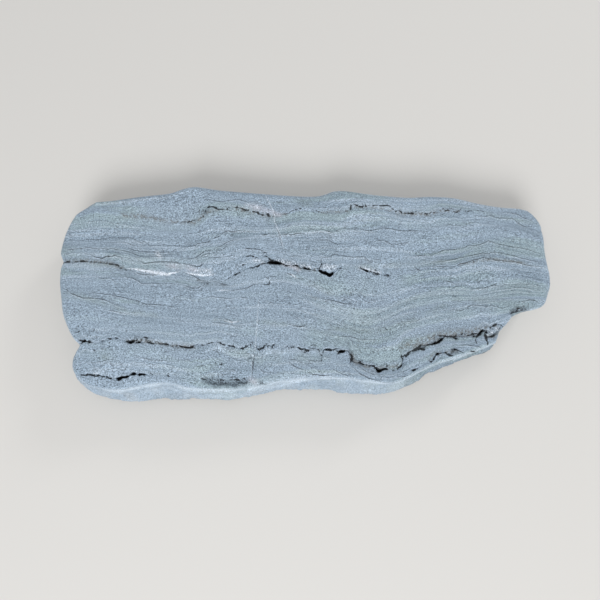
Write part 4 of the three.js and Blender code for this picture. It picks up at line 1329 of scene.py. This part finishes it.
class Recipe:
    def __init__(self, tree):
        self.tree = tree
        tree.nodes.clear()

    def node(self, kind, settings=None, sockets=None, output=0):
        node = self.tree.nodes.new(kind)
        for name, value in (settings or {}).items():
            setattr(node, name, value)
        for key, value in (sockets or {}).items():
            if isinstance(value, Shade):
                self.tree.links.new(value.socket, node.inputs[key])
            else:
                node.inputs[key].default_value = value
        return Shade(self, node.outputs[output])

    def mix(self, mask, first, second):
        """A colour between two colours, by mask."""
        sockets = {0: mask, 6: first, 7: second}
        settings = {"data_type": "RGBA", "clamp_factor": True}
        return self.node("ShaderNodeMix", settings, sockets, output=2)

    def noise(self, vector, scale, detail, rough):
        sockets = {"Vector": vector, "Scale": scale, "Detail": detail, "Roughness": rough}
        return self.node("ShaderNodeTexNoise", {}, sockets)

    def point(self, x, y, z):
        return self.node("ShaderNodeCombineXYZ", {}, {0: x, 1: y, 2: z})

    def attribute(self, name):
        return self.node("ShaderNodeAttribute", {"attribute_name": name}, {}, output=2)

    def scaled(self, colour, factor):
        return self.node("ShaderNodeVectorMath", {"operation": "SCALE"}, {0: colour, 3: factor})

    def surface(self, shader, kind="ShaderNodeOutputMaterial"):
        output = self.tree.nodes.new(kind)
        self.tree.links.new(shader.socket, output.inputs["Surface"])


def finish_for(mesh, name):
    """Puts a new material on the mesh, and gives back the empty recipe for it."""
    material = bpy.data.materials.new(name)
    material.use_nodes = True
    mesh.materials.append(material)
    return Recipe(material.node_tree)


# %% [markdown]
# ## The stone's finish
# Schist takes its colour from thin layers of mica and quartz, so the colour has to follow the
# layers and not the surface. The layer number on the mesh, the bed, is used as one axis of the
# noise, and the way along the stone is squeezed, which stretches every spot into a streak.
#
# The thin dark lines between layers are contour lines of such a stretched noise: wherever it
# passes its middle value there is a line. That gives lines that wander, close up and part
# again, as real layers do, where a plain wave would give ruled stripes.

# %% Where the shader is: place and layer
schist = finish_for(mesh, "schist")
place = schist.node("ShaderNodeTexCoord", {}, {}, output=3)
axes = schist.node("ShaderNodeSeparateXYZ", {}, {0: place})
x, y, z = (Shade(schist, axes.socket.node.outputs[i]) for i in range(3))
layer, layered, side = map(schist.attribute, ("bed", "layered", "side"))
wear, smooth_lit_front = map(schist.attribute, ("wear", "smooth_lit_front"))
textured = 1 - smooth_lit_front * 0.25 - side * 0.25 - wear * 0.25

# %% Noises in plain space, and two small shakes in metres that keep every edge from running true
crinkle = schist.noise(place, 62, 2, 0.6) - 0.5
coarse_grain = schist.noise(place, 150, 2, 0.6)
cloud = schist.noise(place, 7, 3, 0.5)
patch = schist.noise(place, 22, 3, 0.6)
bead = schist.noise(place, 300, 1, 0.5)
dots = schist.noise(place, 150, 1, 0.5).between(0.44, 0.56)
wobble = (coarse_grain - 0.5) * 0.0045
shake = wobble * 0.5 + crinkle * 0.003
print("nodes so far:", len(schist.tree.nodes))

# %% Noises drawn out along the layers
crinkled = layer + crinkle * 0.0075 + wobble * 0.8
grain_layer = layer + crinkle * 0.003


def along_layers(along, across, detail, rough):
    """Streaked noise, from its scale along the stone and its scale across the layers."""
    return schist.noise(schist.point(x * along, crinkled * across, z * along), 1.0, detail, rough)


broad = along_layers(3.0, 38, 3, 0.55)
lines = along_layers(3.2, 88, 1.5, 0.45) - 0.5
fine_lines = along_layers(7.0, 230, 1.5, 0.5) - 0.5
grain = schist.noise(schist.point(x * 370, grain_layer * 820, z * 560), 1.0, 1, 0.6)
broken = bead.between(0.28, 0.50)


def contour(noise, thickness, patches):
    """A broken line wherever the noise passes 0, in patches and where the layers crowd."""
    return (1 - noise.size() / thickness).clamped() * broken * (patches * 0.8 + layered * 0.6)


contours = contour(lines, 0.045, patch.between(0.36, 0.58))
fine_contours = contour(fine_lines, 0.08, cloud.between(0.38, 0.60))


# %% Drawn marks, in metres like everything in the shader
HAIR_EDGE, BEAD_EDGE, VEIN_EDGE = 0.0008, 0.0007, 0.0022
FAINTEST_HAIR, HAIR_RANGE = 0.0002, 0.0023
BEAD_GAP, THINNEST_BEAD, THINNEST_VEIN = 0.0032, 0.0012, 0.0024
LIP_OFFSET, LIP_WIDTH = 0.0024, 0.0015


def stroke(offset, half_width, softness):
    """1 within half_width of a drawn run, 0 outside it, with an edge about softness wide."""
    return ((half_width - offset.size()) / softness + 0.5).clamped()


bead_width, hair_width, vein_width = map(schist.attribute, ("bead_width", "hair_width", "vein_width"))
hair_offset = schist.attribute("hair") + shake
hair_dark = ((hair_width - FAINTEST_HAIR) / HAIR_RANGE).clamped()
hairs = stroke(hair_offset, hair_width * (bead * 0.5 + 0.12), HAIR_EDGE) * hair_dark
# The lip beside each hairline: a small ridge in the relief, and a painted highlight in the colour.
hair_lip_and_highlight = (1 - (hair_offset + LIP_OFFSET).size() / LIP_WIDTH).clamped()
hair_lip_and_highlight = hair_lip_and_highlight * (hair_width / LIP_WIDTH).clamped()
bead_half = bead_width * dots * 0.45 + (bead_width - BEAD_GAP) * 0.45
beads = stroke(schist.attribute("bead") + shake, bead_half, BEAD_EDGE)
beads = beads * (bead_width / THINNEST_BEAD).clamped()
vein_half = vein_width * (0.30 + coarse_grain.between(0.36, 0.60) * 0.35)
vein = stroke(schist.attribute("vein") + wobble * 0.5, vein_half, VEIN_EDGE)
vein = vein * (vein_width / THINNEST_VEIN).clamped()
open_gap = schist.attribute("gap")
gap = ((open_gap * 1.6 - (1 - dots) * 0.9) * 5).clamped()
rust, grime_and_shade, chip, dip_shade = map(schist.attribute, ("rust", "grime_and_shade", "chip", "dip_shade"))
greenish, pink, soil = map(schist.attribute, ("greenish", "pink", "soil"))

# %% Paints
BODY = (0.274, 0.351, 0.436, 1)
PALE = (0.290, 0.368, 0.446, 1)
DARK = (0.150, 0.205, 0.255, 1)
GREEN = (0.285, 0.375, 0.400, 1)
OLIVE = (0.225, 0.285, 0.285, 1)
BROWN = (0.135, 0.135, 0.125, 1)
# Pale paint for painted light and painted highlights.
PAINTED_LIGHT = (0.560, 0.650, 0.740, 1)
FELDSPAR = (0.480, 0.490, 0.560, 1)
QUARTZ = (0.680, 0.745, 0.830, 1)
GRIT_AND_SHADE = (0.060, 0.075, 0.090, 1)
SOIL = (0.150, 0.135, 0.115, 1)
# Near black, for painted shade deep in cracks and gaps.
CRACK_SHADE = (0.010, 0.012, 0.014, 1)


# %% Colour
SPECKLE, DIP_SHADING = 3.05, 0.08


def painted(colour, coats):
    """Lays coats one over another, each a mask, a paint and how strongly it covers."""
    for mask, paint, strength in coats:
        colour = schist.mix(mask * strength, colour, paint)
    return colour


colour = painted(BODY, [
    (broad.between(0.44, 0.62), PALE, 0.48),
    (broad.between(0.44, 0.32), DARK, 0.10),
    (broad.between(0.50, 0.58) * cloud.between(0.42, 0.60), GREEN, 0.6),
    (side * cloud.between(0.48, 0.62) * patch.between(0.40, 0.60), OLIVE, 0.5),
    (side * cloud.between(0.48, 0.36) * patch.between(0.45, 0.60), BROWN, 0.4),
    (greenish * patch.between(0.35, 0.60), OLIVE, 0.42),
    (contours * textured, DARK, 0.6),
    (fine_contours * textured, DARK, 0.6),
    # Painted highlight: a pale band on one side of each dark layer line, as if its edge caught the light.
    (lines.between(0.05, 0.11) * lines.between(0.17, 0.11), PAINTED_LIGHT, 0.24),
    # Painted light: the front face is painted paler, as it faces the light.
    (smooth_lit_front * patch.between(0.25, 0.60), PAINTED_LIGHT, 0.35),
    # Painted highlight along the rim and the top of the side, where the rounded edge would catch the light.
    (wear * wear * patch.between(0.30, 0.5), PAINTED_LIGHT, 0.6),
    (rust * coarse_grain.between(0.35, 0.58), BROWN, 0.7),
    (pink * patch.between(0.30, 0.60), FELDSPAR, 0.55),
    (chip * bead.between(0.40, 0.60), QUARTZ, 0.7),
    (chip * chip * (1 - bead.between(0.36, 0.44)), GRIT_AND_SHADE, 0.8),
    # Grime, and painted shade in the hollow at the bay.
    (grime_and_shade * (coarse_grain + bead).between(1.14, 0.84), GRIT_AND_SHADE, 0.85),
    (soil * patch.between(0.3, 0.6), SOIL, 0.6),
    # Painted highlight on the lip beside each hairline.
    (hair_lip_and_highlight * patch.between(0.35, 0.60), PAINTED_LIGHT, 0.4),
    (vein, QUARTZ, 0.9),
])
# Broad painted shade where the tread dips, and the grain.
speckle = 1 - dip_shade * DIP_SHADING + (grain - 0.5) * SPECKLE * textured
# Painted shade: black in hairlines, dotted cracks and open gaps, and dark grey round the gaps.
colour = painted(schist.scaled(colour, speckle), [
    (hairs, CRACK_SHADE, 1.0),
    (beads, CRACK_SHADE, 0.93),
    ((open_gap * 2).clamped() * patch.between(0.30, 0.55), GRIT_AND_SHADE, 0.4),
    (gap, CRACK_SHADE, 1.0),
])


# %% Relief and shader
BUMP_STRENGTH, BUMP_HEIGHT = 0.8, 0.0018
ROUGHNESS, SHEEN = 0.82, 0.3


def bowls(scale):
    """Shell-shaped bowls, scale of them to a metre."""
    return schist.node("ShaderNodeTexVoronoi", {}, {"Vector": place, "Scale": scale, "Randomness": 1.0})


height = (grain * 0.5 + coarse_grain * (side * 0.4 + 0.06)) * textured + hair_lip_and_highlight * 0.3
height = height - hairs - beads + (bowls(42) * 2.2 + bowls(120) * 0.8) * side
height = height - contours * 0.3 - fine_contours * 0.2
bump_sockets = {"Strength": BUMP_STRENGTH, "Distance": BUMP_HEIGHT, "Height": height}
bump = schist.node("ShaderNodeBump", {}, bump_sockets)
schist.surface(schist.node("ShaderNodeBsdfPrincipled", {}, {
    "Base Color": colour, "Roughness": ROUGHNESS, "Normal": bump, "Specular IOR Level": SHEEN,
}))
print("nodes in the stone's finish:", len(schist.tree.nodes))

# %% [markdown]
# ## Floor, light and camera
# A plain pale floor and soft light from all round, as under a white tent. The camera looks
# almost straight down, from just in front of the stone, through a wide lens.

# %% Floor
FLOOR_REACH = 60.0
quarters = ((-1, -1), (1, -1), (1, 1), (-1, 1))
corners = [(across * FLOOR_REACH, deep * FLOOR_REACH, 0) for across, deep in quarters]
floor_mesh = bpy.data.meshes.new("floor")
floor_mesh.from_pydata(corners, [], [(0, 1, 2, 3)])
floor = bpy.data.objects.new("floor", floor_mesh)
scene.collection.objects.link(floor)
paper = finish_for(floor_mesh, "paper")
PAPER = (0.62, 0.61, 0.59, 1)
paper.surface(paper.node("ShaderNodeBsdfPrincipled", {}, {"Base Color": PAPER, "Roughness": 0.9}))
print("floor:", 2 * FLOOR_REACH, "m across")

# %% Light
HORIZON = (0.55, 0.55, 0.56, 1)
ZENITH = (0.92, 0.92, 0.92, 1)
world = bpy.data.worlds.new("tent")
scene.world = world
world.use_nodes = True
sky = Recipe(world.node_tree)
sky_height = sky.node("ShaderNodeSeparateXYZ", {}, {0: sky.node("ShaderNodeTexCoord")}, output=2)
sky_colour = sky.mix(sky_height.between(0.0, 0.7), HORIZON, ZENITH)
background = sky.node("ShaderNodeBackground", {}, {"Color": sky_colour, "Strength": 0.75})
sky.surface(background, "ShaderNodeOutputWorld")


def soft_light(name, place, target, size, power):
    lamp = bpy.data.lights.new(name, "AREA")
    lamp.shape = "DISK"
    lamp.size = size
    lamp.energy = power
    holder = bpy.data.objects.new(name, lamp)
    holder.location = place
    holder.rotation_euler = (Vector(target) - Vector(place)).to_track_quat("-Z", "Y").to_euler()
    scene.collection.objects.link(holder)


soft_light("key", (-0.4, -4.4, 4.0), (0, 0, 0.05), 3.0, 230)
soft_light("back fill", (3.2, 3.6, 2.2), (0, 0, 0.05), 1.2, 60)
print("lights:", sorted(lamp.name for lamp in bpy.data.lights))

# %% Camera
CAMERA_LENS, SENSOR_WIDTH = 28.0, 36.0
CAMERA_DEGREES = 80
CAMERA_ELEVATION = math.radians(CAMERA_DEGREES)
CAMERA_DISTANCE = 0.995
CAMERA_TARGET = Vector((-0.0099, -0.0222, 0.092))
camera = bpy.data.cameras.new("camera")
camera.lens = CAMERA_LENS
camera.sensor_width = SENSOR_WIDTH
viewer = bpy.data.objects.new("camera", camera)
viewer.location = CAMERA_TARGET + CAMERA_DISTANCE * Vector(
    (0, -math.cos(CAMERA_ELEVATION), math.sin(CAMERA_ELEVATION)))
viewer.rotation_euler = (math.pi / 2 - CAMERA_ELEVATION, 0, 0)
scene.collection.objects.link(viewer)
scene.camera = viewer
scene.view_settings.view_transform = "Standard"
print("camera:", CAMERA_DISTANCE, "m from its target, looking down at", CAMERA_DEGREES, "degrees")
